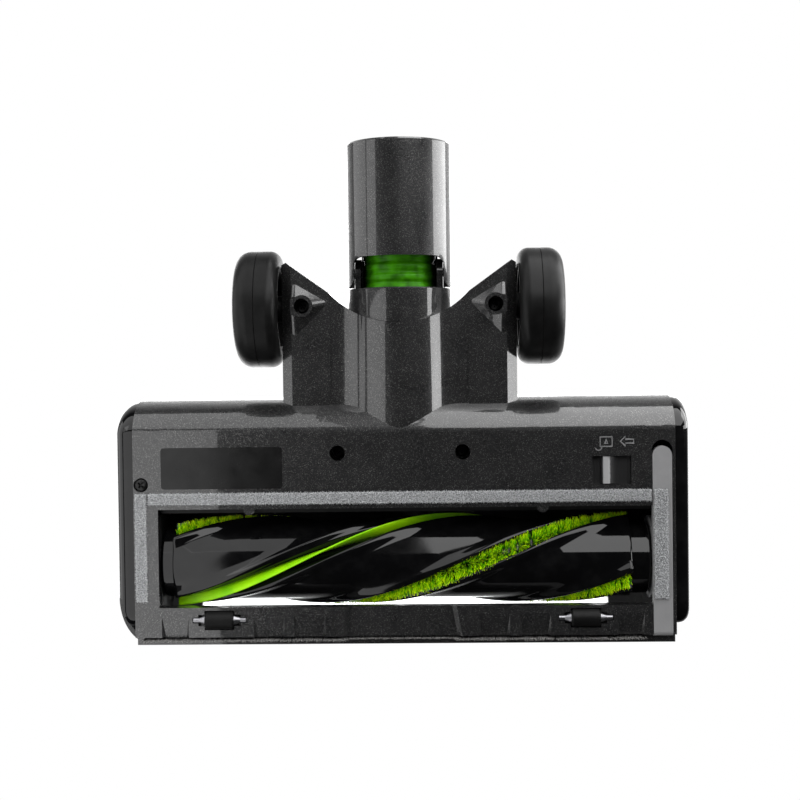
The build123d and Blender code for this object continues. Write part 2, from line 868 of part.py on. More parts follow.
def brush_drive_end():
    face = roll_half + roll_end_length
    end = turned_x(
        brush_y,
        brush_z,
        (roll_half - plug_length, 0),
        (roll_half - plug_length, core_bore - 0.05),
        (roll_half, core_bore - 0.05),
        (roll_half, roll_end_radius),
        (face - 1, roll_end_radius),
        (face, roll_end_radius - 1),
        (face, 0),
    )
    socket = Pos(brush_y, brush_z) * RegularPolygon(dog_across_flats / 2 + seat_gap, 6, major_radius=False)
    return end - along_x(socket, roll_half - plug_length + 2, face + 1)


def drive_dog():
    start = roll_half - plug_length + 2.5
    shoulder = mouth_drive_end - seat_gap
    stop = pulley_start + pulley_width
    hexagon = Pos(brush_y, brush_z) * RegularPolygon(dog_across_flats / 2, 6, major_radius=False)
    shaft = rod_x(shoulder - 1, stop, brush_y, brush_z, drive_shaft_radius)
    return along_x(hexagon, start, shoulder) + shaft


def brush_idle_end():
    face = plate_inner + roll_end_gap
    seat_end = plate_outer + idle_seat_floor + idle_bearing_width
    recess = idle_bearing_radius + bearing_shell + roll_end_gap
    end = turned_x(
        brush_y,
        brush_z,
        (plug_length - roll_half, 0),
        (plug_length - roll_half, core_bore - 0.05),
        (-roll_half, core_bore - 0.05),
        (-roll_half, roll_end_radius),
        (face + 1, roll_end_radius),
        (face, roll_end_radius - 1),
        (face, recess),
        (seat_end + roll_end_gap, recess),
        (seat_end + roll_end_gap, 0),
    )
    pin_hole = rod_x(face, plug_length - roll_half - 1, brush_y, brush_z, idle_pin_radius + press_gap)
    return end - pin_hole


def brush_idle_pin():
    start = plate_outer + idle_seat_floor + 0.2
    return rod_x(start, plug_length - roll_half - 1.2, brush_y, brush_z, idle_pin_radius)


def bearing(x0, width, bore, radius):
    race = 0.35
    ring = turned_x(
        brush_y,
        brush_z,
        (x0, bore),
        (x0, radius - 0.4),
        (x0 + 0.4, radius),
        (x0 + width - 0.4, radius),
        (x0 + width, radius - 0.4),
        (x0 + width, bore),
    )
    middle = (bore + radius) / 2
    groove = rod_x(x0 - 1, x0 + race, brush_y, brush_z, middle + 1.2)
    groove -= rod_x(x0 - 2, x0 + width, brush_y, brush_z, middle - 1.2)
    other = Pos(width - race + 1, 0, 0) * groove
    return ring - groove - other


def drive_bearing():
    bore = drive_shaft_radius + shaft_gap
    return bearing(mouth_drive_end + seat_gap, drive_bearing_width, bore, drive_bearing_radius)


def idle_bearing():
    start = plate_outer + idle_seat_floor
    return bearing(start, idle_bearing_width, idle_pin_radius + shaft_gap, idle_bearing_radius)


def ribbed_pulley(y, z, radius, bore):
    start = pulley_start
    stop = start + pulley_width
    rim = radius + pulley_flange
    land = start + 0.7
    end = stop - 0.7
    points = [(start, bore), (start, rim), (land, rim), (land, radius)]
    middle = (start + stop) / 2
    groove_half = belt_rib_width / 2 + 0.15
    depth = radius - belt_rib_height
    for place in range(belt_ribs):
        centre = middle + (place - (belt_ribs - 1) / 2) * belt_rib_pitch
        points += [(centre - groove_half, radius), (centre - groove_half, depth)]
        points += [(centre + groove_half, depth), (centre + groove_half, radius)]
    points += [(end, radius), (end, rim), (stop, rim), (stop, bore)]
    return turned_x(y, z, *points)


def driven_pulley():
    return ribbed_pulley(brush_y, brush_z, pulley_radius, drive_shaft_radius + press_gap)


def motor_pulley():
    return ribbed_pulley(motor_y, motor_z, motor_pulley_radius, motor_shaft_radius + press_gap)


def belt_loop(clearance):
    large = Pos(brush_y, brush_z) * Circle(pulley_radius + clearance)
    small = Pos(motor_y, motor_z) * Circle(motor_pulley_radius + clearance)
    return make_hull(large.edges() + small.edges())


def drive_belt():
    half = belt_ribs * belt_rib_pitch / 2
    middle = pulley_start + pulley_width / 2
    inner = belt_loop(belt_gap)
    belt = along_x(belt_loop(belt_gap + belt_thickness) - inner, middle - half, middle + half)
    rib = inner - belt_loop(belt_gap - belt_rib_height)
    for place in range(belt_ribs):
        centre = middle + (place - (belt_ribs - 1) / 2) * belt_rib_pitch
        belt += along_x(rib, centre - belt_rib_width / 2, centre + belt_rib_width / 2)
    return belt


def brush_motor():
    front = motor_front
    back = motor_back
    nose = motor_boss_radius
    can = turned_x(
        motor_y,
        motor_z,
        (back - motor_tail_length, 0),
        (back - motor_tail_length, nose),
        (back, nose),
        (back, motor_radius - 2),
        (back + 5, motor_radius - 2),
        (back + 5, motor_radius - 0.8),
        (back + 6, motor_radius),
        (front - 1.5, motor_radius),
        (front, motor_radius - 1.5),
        (front, nose),
        (front + motor_boss_length, nose),
        (front + motor_boss_length, 0),
    )
    for side in (1, -1):
        y = motor_y + side * (motor_radius - 4)
        half = terminal_width / 2
        thick = terminal_thickness / 2
        can += box(back - terminal_length, back + 1, y - half, y + half, motor_z - thick, motor_z + thick)
    bore_start = front - motor_shaft_grip - running_gap
    bore_end = front + motor_boss_length + 1
    return can - rod_x(bore_start, bore_end, motor_y, motor_z, motor_shaft_radius + shaft_gap)


def motor_shaft():
    start = motor_front - motor_shaft_grip
    return rod_x(start, pulley_start + pulley_width, motor_y, motor_z, motor_shaft_radius)


def control_board():
    left = board_x - board_width / 2
    right = left + board_width
    front = board_y - board_depth / 2
    top = board_z + board_thickness
    board = box(left, right, front, front + board_depth, board_z, top)
    plug_x = right - plug_margin
    plug_y = front + plug_margin
    board += box(plug_x - plug_width, plug_x, plug_y, plug_y + plug_depth, top - 0.2, top + plug_height)
    board += rod_z(top - 0.2, top + capacitor_height, left + capacitor_margin, board_y, capacitor_radius)
    chip = Box(chip_size, chip_size, chip_height + 0.2)
    return board + Pos(board_x, board_y, top + chip_height / 2 - 0.1) * chip


def brush_end_cover():
    half = cover_bar_width / 2
    x = bar_outer + half
    centre = cover_bar_rear - half
    bar = box(bar_outer, bar_inner, cover_bar_front, centre, sole_height, bar_top)
    bar += rod_z(sole_height, bar_top, x, centre, half)
    toe = bar.edges().filter_by(Axis.X).sort_by(Axis.Y)[0:2].sort_by(Axis.Z)[0]
    bar = fillet(toe, 2.0)
    disc_radius = brush_y - mouth_front - running_gap
    disc = Pos(brush_y, brush_z) * Circle(disc_radius)
    above = Pos(brush_y, bar_top - 0.5 + disc_radius) * Rectangle(4 * disc_radius, 2 * disc_radius)
    bar += along_x(disc & above, plate_outer, plate_inner)
    seat = idle_bearing_radius + 0.03
    seat_x = plate_outer + idle_seat_floor
    bar += rod_x(plate_outer, seat_x + idle_bearing_width, brush_y, brush_z, seat + bearing_shell)
    bar -= rod_x(seat_x, bar_inner + 9, brush_y, brush_z, seat)
    bolt_low = floor_top + seat_gap + latch_plate
    tab_half = latch_bolt_width / 2 + running_gap
    hole_top = bolt_low + latch_bolt_height + running_gap
    edge = tab_half + wall
    tab = box(plate_outer, plate_inner, latch_y - edge, latch_y + edge, bar_top - 0.5, hole_top + wall)
    near = latch_y - tab_half
    hole = box(plate_outer - 1, plate_inner + 1, near, near + 2 * tab_half, bolt_low - 0.2, hole_top)
    return bar + tab - hole


def brush_latch():
    low = floor_top + seat_gap
    top = low + latch_plate
    half = latch_window_depth / 2
    far = latch_window_far - latch_travel - 0.4
    near = latch_window_near + latch_travel
    slide = half + latch_overlap
    plate = box(far, near, latch_y - slide, latch_y + slide, low, top)
    pad_half = half - running_gap
    pad_near = latch_window_near - latch_travel - running_gap
    pad_far = latch_window_far + running_gap
    rib_far = latch_rib_near - latch_rib_width
    tip = sole_height + running_gap
    edge = Polyline(
        (pad_far, low - 0.3),
        (pad_far, low + 0.5),
        (pad_near, low + 0.5),
        (pad_near, low - 1.0),
        (latch_rib_near, low - 1.0),
        (latch_rib_near - 0.6, tip),
        (rib_far, tip),
    )
    thumb = ThreePointArc((rib_far, tip), (rib_far - 3.0, low - 0.5), (pad_far, low - 0.3))
    scoop = make_face([*edge.edges(), thumb])
    plate += along_y(scoop, latch_y - pad_half, latch_y + pad_half)
    bolt_half = latch_bolt_width / 2
    bolt_end = plate_outer + 0.2
    bolt_top = top + latch_bolt_height
    return plate + box(bolt_end, far + 8, latch_y - bolt_half, latch_y + bolt_half, top - 0.2, bolt_top)


def latch_spring():
    low = floor_top + seat_gap + 0.2
    foot = latch_window_near + latch_travel + spring_rise + running_gap / 2
    apex = latch_window_near + latch_travel + running_gap / 2
    half = latch_window_depth / 2
    outer = ThreePointArc((foot, latch_y - half), (apex, latch_y), (foot, latch_y + half))
    inner = ThreePointArc(
        (foot, latch_y - half + spring_strip),
        (apex + spring_strip, latch_y),
        (foot, latch_y + half - spring_strip),
    )
    ends = [
        Line((foot, latch_y - half), (foot, latch_y - half + spring_strip)),
        Line((foot, latch_y + half), (foot, latch_y + half - spring_strip)),
    ]
    return along_z(make_face([outer, inner, *ends]), low, low + 2.0)


def felt_strip_rear():
    low = sole_height - felt_thickness
    start = bar_inner + running_gap
    return box(start, drive_side - felt_width - 0.6, felt_rear_y, felt_end_y, low, sole_height)


def felt_strip_left():
    low = sole_height - felt_thickness
    stop = drive_side - 0.4
    return box(stop - felt_width, stop, felt_side_front, felt_end_y, low, sole_height)


def felt_strip_right():
    low = sole_height - felt_thickness
    start = bar_inner - 0.2 - release_felt_width
    return box(start, bar_inner - 0.2, felt_side_front, felt_end_y, low, sole_height)


def front_fringe():
    rear = fringe_front + fringe_thickness
    top = lip_top - lip_ledge
    edge = middle_channel_half
    strip = box(bar_inner + 3, drive_side - 3, fringe_front, rear, fringe_floor_gap, top)
    return strip - box(-edge, edge, fringe_front - 1, rear + 1, 0, fringe_floor_gap + fringe_middle_lift)


def front_roller(side):
    x = side * roller_x
    half = roller_length / 2
    edge = 0.6
    return turned_x(
        roller_y,
        roller_radius,
        (x - half, roller_core_radius + press_gap),
        (x - half, roller_radius - edge),
        (x - half + edge, roller_radius),
        (x + half - edge, roller_radius),
        (x + half, roller_radius - edge),
        (x + half, roller_core_radius + press_gap),
    )


def roller_axle(side):
    x = side * roller_x
    shoulder = roller_length / 2 + seat_gap
    end = roller_axle_length / 2
    pin = roller_axle_radius
    return turned_x(
        roller_y,
        roller_radius,
        (x - end, 0),
        (x - end, pin),
        (x - roller_cone_end, pin),
        (x - shoulder, roller_cone_radius),
        (x - shoulder, roller_core_radius),
        (x + shoulder, roller_core_radius),
        (x + shoulder, roller_cone_radius),
        (x + roller_cone_end, pin),
        (x + end, pin),
        (x + end, 0),
    )


def wheel_tyre(side):
    seam = (wheel_inner + wheel_outer) / 2
    inner = wheel_inner
    outer = wheel_outer
    section = polygon((inner, tyre_bore), (inner, wheel_radius), (outer, wheel_radius), (outer, tyre_bore))
    shoulders = section.vertices().sort_by(Axis.Y)[-2:].sort_by(Axis.X)
    section = fillet(shoulders[0], tyre_round)
    section = fillet(section.vertices().sort_by_distance((outer, wheel_radius))[0], tyre_outer_round)
    section -= polygon(
        (seam - tyre_seam, wheel_radius + 0.1),
        (seam, wheel_radius - tyre_seam),
        (seam + tyre_seam, wheel_radius + 0.1),
    )
    tyre = Pos(0, wheel_y, wheel_radius) * revolve(Plane.XZ * section, axis=Axis.X)
    return tyre if side > 0 else mirror(tyre, about=Plane.YZ)


def wheel_hub(side):
    inner = wheel_inner + 0.8
    outer = wheel_outer - 1.2
    bore = axle_radius + shaft_gap
    rim = tyre_bore - 0.05
    collar = 2.4 * axle_radius
    head_room = outer - 1.6 - axle_head
    web = (inner + outer) / 2
    hub = turned_x(
        wheel_y,
        wheel_radius,
        (arm_outer + running_gap, bore),
        (arm_outer + running_gap, collar),
        (web - 1.2, collar),
        (web - 1.2, rim - 2.2),
        (inner, rim - 2.2),
        (inner, rim),
        (outer, rim),
        (outer, hub_cap_radius + 0.1),
        (outer - 1.4, hub_cap_radius + 0.1),
        (outer - 1.4, axle_head_radius + 1),
        (head_room, axle_head_radius + 1),
        (head_room, bore),
    )
    return hub if side > 0 else mirror(hub, about=Plane.YZ)


def hub_cap(side):
    outer = wheel_outer - 1.2
    cap = turned_x(
        wheel_y,
        wheel_radius,
        (outer - 1.4 + 0.05, 0),
        (outer - 1.4 + 0.05, hub_cap_radius),
        (outer, hub_cap_radius),
        (outer + 0.9, hub_cap_radius - 2.4),
        (outer + 0.9, 0),
    )
    return cap if side > 0 else mirror(cap, about=Plane.YZ)


def wheel_axle(side):
    head_room = wheel_outer - 1.2 - 1.6 - axle_head
    axle = turned_x(
        wheel_y,
        wheel_radius,
        (arm_outer - axle_grip, 0),
        (arm_outer - axle_grip, axle_radius),
        (head_room + seat_gap, axle_radius),
        (head_room + seat_gap, axle_head_radius),
        (head_room + axle_head, axle_head_radius),
        (head_room + axle_head, 0),
    )
    return axle if side > 0 else mirror(axle, about=Plane.YZ)


def hinge_frame(face):
    return Pos(0, hinge_y, neck_z) * along_x(face, -2 * tube_radius, 2 * tube_radius)


def swivel_collar():
    inside = collar_radius - collar_wall
    sleeve = hose_radius + 0.2 + running_gap
    sleeve_end = collar_front + hose_sleeve_length
    shell = turned_y(
        (sleeve, collar_front),
        (collar_radius, collar_front),
        (collar_radius, collar_flange_y),
        (collar_radius + collar_flange_height, collar_flange_y),
        (collar_radius + collar_flange_height, collar_flange_y + collar_flange_width),
        (collar_radius, collar_flange_y + collar_flange_width),
        (collar_radius, collar_rear - 0.5),
        (collar_radius - 0.5, collar_rear),
        (inside, collar_rear),
        (inside, collar_front + wall),
        (sleeve + hose_sleeve_wall, collar_front + wall),
        (sleeve + hose_sleeve_wall, sleeve_end),
        (sleeve, sleeve_end),
    )
    slope = math.tan(math.radians(90 - collar_notch_angle))
    high = 2 * tube_radius
    low = ear_radius
    notch = polygon((-slope * low, low), (high, low), (high, high), (-slope * high, high))
    shell -= hinge_frame(notch)
    outer = math.sqrt((tube_radius - tube_wall) ** 2 - lug_radius**2) - lug_clearance
    inner = outer - lug_thickness
    low = neck_z - lug_radius
    high = neck_z + lug_radius
    lug = box(inner, outer, sleeve_end - 2, hinge_y, low, high)
    lug += rod_x(inner, outer, hinge_y, neck_z, lug_radius)
    root = box(inner, inside + 0.6, sleeve_end - 2, collar_rear - 1, low, high)
    lug += root & rod_y(collar_front, collar_rear, 0, neck_z, collar_radius - 0.5)
    shell += mirrored(lug)
    return shell - rod_x(-body_width, body_width, hinge_y, neck_z, hinge_pin_radius + shaft_gap)


def flex_hose():
    front = collar_front + duct_engagement + running_gap
    start = front + hose_cuff_length
    stop = start + hose_ridges * hose_pitch
    end = stop + hose_cuff_length
    cuff = hose_radius + 0.2
    root = hose_root_radius + hose_swell
    crest = hose_radius + hose_swell
    points = [(hose_bore, front), (cuff, front), (cuff, start - 0.6)]
    for place in range(hose_ridges):
        foot = start + place * hose_pitch
        points.append((root, foot))
        points.append((crest, foot + 0.34 * hose_pitch))
        points.append((crest, foot + 0.66 * hose_pitch))
    points += [(root, stop), (cuff, stop + 0.6), (cuff, end), (hose_bore, end)]
    return turned_y(*points)


def tube_window_plan():
    half = tube_window_half
    low = tube_front - 1
    bend = tube_ear_round
    start = tube_front + bend
    middle = (half + bend - bend * math.cos(math.pi / 4), start - bend * math.sin(math.pi / 4))
    flare = ThreePointArc((half, start), middle, (half + bend, tube_front))
    back = ThreePointArc((-half, start), (-middle[0], middle[1]), (-half - bend, tube_front))
    plan = make_face([
        Line((-half, tube_window_rear), (half, tube_window_rear)),
        Line((half, tube_window_rear), (half, start)),
        flare,
        Line((half + bend, tube_front), (half + bend, low)),
        Line((half + bend, low), (-half - bend, low)),
        Line((-half - bend, low), (-half - bend, tube_front)),
        back,
        Line((-half, start), (-half, tube_window_rear)),
    ])
    corners = plan.vertices().sort_by(Axis.Y)[-2:]
    return fillet(corners, tube_window_round)


def neck_tube():
    inside = tube_radius - tube_wall
    sleeve = hose_radius + 0.2 + running_gap
    ridges_end = collar_front + duct_engagement + running_gap + hose_cuff_length + hose_ridges * hose_pitch
    sleeve_start = ridges_end + 1.5
    web = socket_floor - wall
    shell = turned_y(
        (inside, tube_front),
        (tube_radius, tube_front),
        (tube_radius, tube_end - 0.8),
        (tube_radius - 0.8, tube_end),
        (socket_radius + socket_lead_in, tube_end),
        (socket_radius, tube_end - socket_lead_in),
        (socket_radius, socket_floor),
        (hose_bore, socket_floor),
        (hose_bore, web),
        (sleeve, web),
        (sleeve, sleeve_start),
        (sleeve + hose_sleeve_wall, sleeve_start),
        (sleeve + hose_sleeve_wall, web),
        (inside, web),
    )
    skirt = rod_y(tube_front, socket_floor, 0, neck_z, tube_radius)
    skirt -= rod_y(tube_front - 1, socket_floor + 1, 0, neck_z, inside)
    slope = math.tan(math.radians(90 - tube_notch_angle))
    high = 2 * tube_radius
    notch = polygon((-high, 0), (0, 0), (slope * high, high), (-high, high))
    shell -= hinge_frame(notch)
    shell += skirt & rod_x(-body_width, body_width, hinge_y, neck_z, ear_radius)
    shell -= along_z(tube_window_plan(), 0, neck_z - ear_radius)
    shell -= rod_x(-body_width, body_width, hinge_y, neck_z, hinge_pin_radius + press_gap)
    half = catch_slot_width / 2
    length = catch_slot_length / 2
    top = neck_z + tube_radius + 1
    shell -= box(-half, half, catch_slot_y - length, catch_slot_y + length, neck_z + socket_radius - 2, top)
    for x, z in contact_places():
        shell -= rod_y(web - 1, socket_floor + 1, x, z, contact_radius + 0.03)
    return shell


def contact_places():
    half = contact_spacing / 2
    ring = (socket_radius + hose_bore) / 2
    drop = math.sqrt(ring**2 - half**2)
    return [(half, neck_z - drop), (-half, neck_z - drop)]


def contact_pins():
    pins = None
    for x, z in contact_places():
        pin = rod_y(socket_floor - wall, socket_floor - 0.2, x, z, contact_radius)
        pins = pin if pins is None else pins + pin
    return pins


def hinge_pins():
    outer = math.sqrt(tube_radius**2 - hinge_pin_radius**2) - 0.2
    inner = math.sqrt((tube_radius - tube_wall) ** 2 - lug_radius**2) - lug_clearance - lug_thickness
    return mirrored(rod_x(inner, outer, hinge_y, neck_z, hinge_pin_radius))


def housing_screws():
    screws = None
    for x, y in ((screw_x, screw_y), (arm_screw_x, arm_screw_y)):
        screw = rod_z(screw_seat_z - screw_head, screw_seat_z - 0.05, x, y, screw_head_radius)
        screw += rod_z(screw_seat_z - 0.5, screw_seat_z + screw_length, x, y, screw_radius)
        pair = mirrored(screw)
        screws = pair if screws is None else screws + pair
    return screws


def end_cap_screw():
    head = rod_z(sole_height + 0.2, sole_height + 1.25, cap_screw_x, cap_screw_y, cap_screw_head_radius)
    return head + rod_z(sole_height + 1, floor_top + 5.5, cap_screw_x, cap_screw_y, screw_radius)


pieces = {
    "base_shell": base_shell(),
    "top_cover": top_cover(),
    "clear_window": clear_window(),
    "drive_end_cap": drive_end_cap(),
    "release_end_cap": release_end_cap(),
    "brush_chamber": brush_chamber(),
    "air_duct": air_duct(),
    "brush_end_cover": brush_end_cover(),
    "brush_latch": brush_latch(),
    "latch_spring": latch_spring(),
    "felt_strip_rear": felt_strip_rear(),
    "felt_strip_left": felt_strip_left(),
    "felt_strip_right": felt_strip_right(),
    "front_fringe": front_fringe(),
    "brush_motor": brush_motor(),
    "motor_shaft": motor_shaft(),
    "motor_pulley": motor_pulley(),
    "drive_belt": drive_belt(),
    "driven_pulley": driven_pulley(),
    "drive_dog": drive_dog(),
    "drive_bearing": drive_bearing(),
    "idle_bearing": idle_bearing(),
    "brush_core": brush_core(),
    "bristle_row_a": on_brush_axis(helical(row_profile(row_angles[0]))),
    "bristle_row_b": on_brush_axis(helical(row_profile(row_angles[1]))),
    "soft_blade": on_brush_axis(helical(blade_profile(blade_angle))),
    "brush_drive_end": brush_drive_end(),
    "brush_idle_end": brush_idle_end(),
    "brush_idle_pin": brush_idle_pin(),
    "control_board": control_board(),
    "swivel_collar": swivel_collar(),
    "flex_hose": flex_hose(),
    "neck_tube": neck_tube(),
    "hinge_pins": hinge_pins(),
    "contact_pins": contact_pins(),
    "housing_screws": housing_screws(),
    "end_cap_screw": end_cap_screw(),
}
for name, side in (("left", 1), ("right", -1)):
    pieces[f"front_roller_{name}"] = front_roller(side)
    pieces[f"roller_axle_{name}"] = roller_axle(side)
    pieces[f"wheel_tyre_{name}"] = wheel_tyre(side)
    pieces[f"wheel_hub_{name}"] = wheel_hub(side)
    pieces[f"hub_cap_{name}"] = hub_cap(side)
    pieces[f"wheel_axle_{name}"] = wheel_axle(side)

os.makedirs("parts", exist_ok=True)
for name, piece in pieces.items():
    export_step(Pos(0, -origin_y, 0) * piece, f"parts/{name}.step")
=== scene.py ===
import math
import bpy
import bmesh
from mathutils import Euler, Matrix, Vector, noise


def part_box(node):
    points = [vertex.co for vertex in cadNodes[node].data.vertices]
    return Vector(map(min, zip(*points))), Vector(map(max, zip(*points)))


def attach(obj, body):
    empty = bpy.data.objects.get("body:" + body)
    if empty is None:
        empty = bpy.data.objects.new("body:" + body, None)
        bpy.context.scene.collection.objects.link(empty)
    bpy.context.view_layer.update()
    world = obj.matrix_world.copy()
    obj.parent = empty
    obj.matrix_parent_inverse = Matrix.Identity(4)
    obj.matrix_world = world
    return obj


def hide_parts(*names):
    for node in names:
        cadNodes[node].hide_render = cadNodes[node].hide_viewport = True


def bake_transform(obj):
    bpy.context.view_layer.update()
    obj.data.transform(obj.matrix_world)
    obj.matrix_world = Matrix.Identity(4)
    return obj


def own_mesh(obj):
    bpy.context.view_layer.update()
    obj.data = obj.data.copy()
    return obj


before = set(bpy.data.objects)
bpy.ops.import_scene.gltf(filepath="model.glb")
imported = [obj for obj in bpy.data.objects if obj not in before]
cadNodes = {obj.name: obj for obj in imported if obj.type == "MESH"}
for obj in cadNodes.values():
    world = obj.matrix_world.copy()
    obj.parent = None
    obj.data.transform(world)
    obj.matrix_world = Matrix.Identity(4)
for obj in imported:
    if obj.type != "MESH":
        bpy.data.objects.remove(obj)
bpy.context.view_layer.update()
scene = bpy.context.scene
mm = 0.001
print("frame loaded:", len(cadNodes), "pieces")


# small helpers for node trees, meshes and looks
def fill(tree, node, inputs):
    for key, value in inputs.items():
        if isinstance(value, bpy.types.NodeSocket):
            tree.links.new(value, node.inputs[key])
        else:
            node.inputs[key].default_value = value


def place(tree, kind, inputs=None, **settings):
    made = tree.nodes.new(kind)
    for key, value in settings.items():
        setattr(made, key, value)
    fill(tree, made, inputs or {})
    return made


# the first output of a new node
def first(tree, kind, inputs=None, **settings):
    return place(tree, kind, inputs, **settings).outputs[0]


def calc(tree, operation, *values):
    return first(tree, "ShaderNodeMath", dict(enumerate(values)), operation=operation)


def plus(tree, one, two):
    return calc(tree, "ADD", one, two)


def times(tree, one, two):
    return calc(tree, "MULTIPLY", one, two)


def minus(tree, value):
    return times(tree, value, -1.0)


def calcVector(tree, operation, *values):
    return first(tree, "ShaderNodeVectorMath", dict(enumerate(values)), operation=operation)


def stretch(tree, vector, factor):
    return first(tree, "ShaderNodeVectorMath", {"Vector": vector, "Scale": factor}, operation="SCALE")


def joinXyz(tree, x, y, z):
    return first(tree, "ShaderNodeCombineXYZ", {"X": x, "Y": y, "Z": z})


def randomFloat(tree, low, high, seed, shift=0, who=None):
    inputs = {2: low, 3: high, 8: plus(tree, seed, shift)}  # the sockets that take floats
    if who is not None:
        inputs[7] = who
    return place(tree, "FunctionNodeRandomValue", inputs, data_type="FLOAT").outputs[1]


def eitherWay(tree, most, seed, shift=0, who=None):
    return randomFloat(tree, minus(tree, most), most, seed, shift, who)


def addObject(name, data):
    made = bpy.data.objects.new(name, data)
    scene.collection.objects.link(made)
    return made


def meshFrom(name, points, faces):
    mesh = bpy.data.meshes.new(name)
    mesh.from_pydata(points, [], faces)
    mesh.update()
    return mesh


def faceOutward(mesh):
    shape = bmesh.new()
    shape.from_mesh(mesh)
    bmesh.ops.recalc_face_normals(shape, faces=shape.faces)
    shape.to_mesh(mesh)
    shape.free()


def outwardMesh(name, points, faces, look, smooth=False):
    mesh = meshFrom(name, points, faces)
    faceOutward(mesh)
    for face in mesh.polygons:
        face.use_smooth = smooth and len(face.vertices) == 4  # the end faces stay flat
    mesh.materials.append(look)
    return mesh


# quads between rings of count points each
def ringFaces(total, count):
    faces = []
    for start in range(0, total - count, count):
        for step in range(count):
            a = start + step
            b = start + (step + 1) % count
            faces.append((a, a + count, b + count, b))
    return faces


def sweepMesh(name, points, count, look, smooth=False):
    total = len(points)
    ends = [tuple(range(count)), tuple(reversed(range(total - count, total)))]
    return outwardMesh(name, points, ends + ringFaces(total, count), look, smooth)


socketKinds = ((bpy.types.Material, "NodeSocketMaterial"), (bpy.types.Object, "NodeSocketObject"),
               (int, "NodeSocketInt"), (float, "NodeSocketFloat"))


def startTree(name, sizes):
    tree = bpy.data.node_groups.new(name, "GeometryNodeTree")
    tree.interface.new_socket("Geometry", in_out="INPUT", socket_type="NodeSocketGeometry")
    tree.interface.new_socket("Geometry", in_out="OUTPUT", socket_type="NodeSocketGeometry")
    for key, value in sizes.items():
        kind = [socket for sort, socket in socketKinds if isinstance(value, sort)][0]
        tree.interface.new_socket(key, in_out="INPUT", socket_type=kind)
    return tree, place(tree, "NodeGroupInput").outputs


def plant(tree, thing, points, turned, size):
    shape = place(tree, "GeometryNodeObjectInfo", {"Object": thing}).outputs["Geometry"]
    inputs = {"Points": points, "Instance": shape, "Rotation": turned, "Scale": size}
    return first(tree, "GeometryNodeInstanceOnPoints", inputs)


# a hair on every point, whose length is a random share of the room it has
def plantHairs(tree, given, points, direction, room, shift, rolled=None):
    inputs = {"Vector": direction}
    if rolled is not None:
        inputs["Rotation"] = rolled
    turned = first(tree, "FunctionNodeAlignRotationToVector", inputs, axis="Z")
    share = randomFloat(tree, given["Shortest"], given["Longest"], given["Seed"], shift)
    size = joinXyz(tree, given["Thickness"], given["Thickness"], times(tree, room, share))
    return plant(tree, given["Hair"], points, turned, size)


def toneHairs(tree, hairs, seed, shift):
    inputs = {"Geometry": hairs, "Name": "tone", "Value": randomFloat(tree, 0.0, 1.0, seed, shift)}
    return first(tree, "GeometryNodeStoreNamedAttribute", inputs, data_type="FLOAT", domain="INSTANCE")


def joinShapes(tree, *shapes):
    joined = place(tree, "GeometryNodeJoinGeometry")
    for shape in shapes:
        tree.links.new(shape, joined.inputs[0])
    return joined.outputs[0]


def finishTree(tree, given, shape):
    solid = first(tree, "GeometryNodeRealizeInstances", {"Geometry": shape})
    dressed = first(tree, "GeometryNodeSetMaterial", {"Geometry": solid, "Material": given["Material"]})
    place(tree, "NodeGroupOutput", {0: dressed})
    return tree


def growPiece(name, tree, sizes, startMesh=None):
    piece = addObject(name, startMesh or bpy.data.meshes.new(name))
    modifier = piece.modifiers.new("grow", "NODES")
    modifier.node_group = tree
    for item in tree.interface.items_tree:
        if item.item_type == "SOCKET" and item.in_out == "INPUT" and item.name in sizes:
            modifier[item.identifier] = sizes[item.name]
    graph = bpy.context.evaluated_depsgraph_get()
    grown = bpy.data.meshes.new_from_object(
        piece.evaluated_get(graph), preserve_all_data_layers=True, depsgraph=graph)
    piece.modifiers.remove(modifier)
    piece.data = grown
    grown.name = name
    return piece


def useLook(look, *names):
    for name in names:
        mesh = cadNodes[name].data
        mesh.materials.clear()
        mesh.materials.append(look)


def newLook(name):
    look = bpy.data.materials.new(name)
    look.use_nodes = True
    tree = look.node_tree
    return look, tree, tree.nodes["Principled BSDF"]


def spot(tree):
    return place(tree, "ShaderNodeTexCoord").outputs["Object"]


def spotOn(tree, axis):
    return place(tree, "ShaderNodeSeparateXYZ", {"Vector": spot(tree)}).outputs[axis]


def cloud(tree, size, detail=3.0, rough=0.5):
    inputs = {"Vector": spot(tree), "Scale": 1 / size, "Detail": detail, "Roughness": rough}
    return place(tree, "ShaderNodeTexNoise", inputs).outputs["Fac"]


def ramp(tree, value, *stops):
    node = place(tree, "ShaderNodeValToRGB", {"Fac": value})
    band = node.color_ramp.elements
    while len(band) < len(stops):
        band.new(0.5)
    for element, (position, color) in zip(band, stops):
        element.position = position
        element.color = (*color, 1.0)
    return node.outputs["Color"]


def between(tree, value, low, high, newLow, newHigh):
    inputs = {"Value": value, "From Min": low, "From Max": high, "To Min": newLow, "To Max": newHigh}
    return place(tree, "ShaderNodeMapRange", inputs).outputs["Result"]


def bump(tree, height, strength, distance):
    inputs = {"Height": height, "Strength": strength, "Distance": distance}
    return place(tree, "ShaderNodeBump", inputs).outputs["Normal"]


# size and detail of the patches, the edges between them, and the least and most value
def patchy(tree, size, detail, low, high, least, most):
    return between(tree, cloud(tree, size, detail), low, high, least, most)


def grain(tree, size, detail, strength, depth):
    return bump(tree, cloud(tree, size, detail), strength, depth)


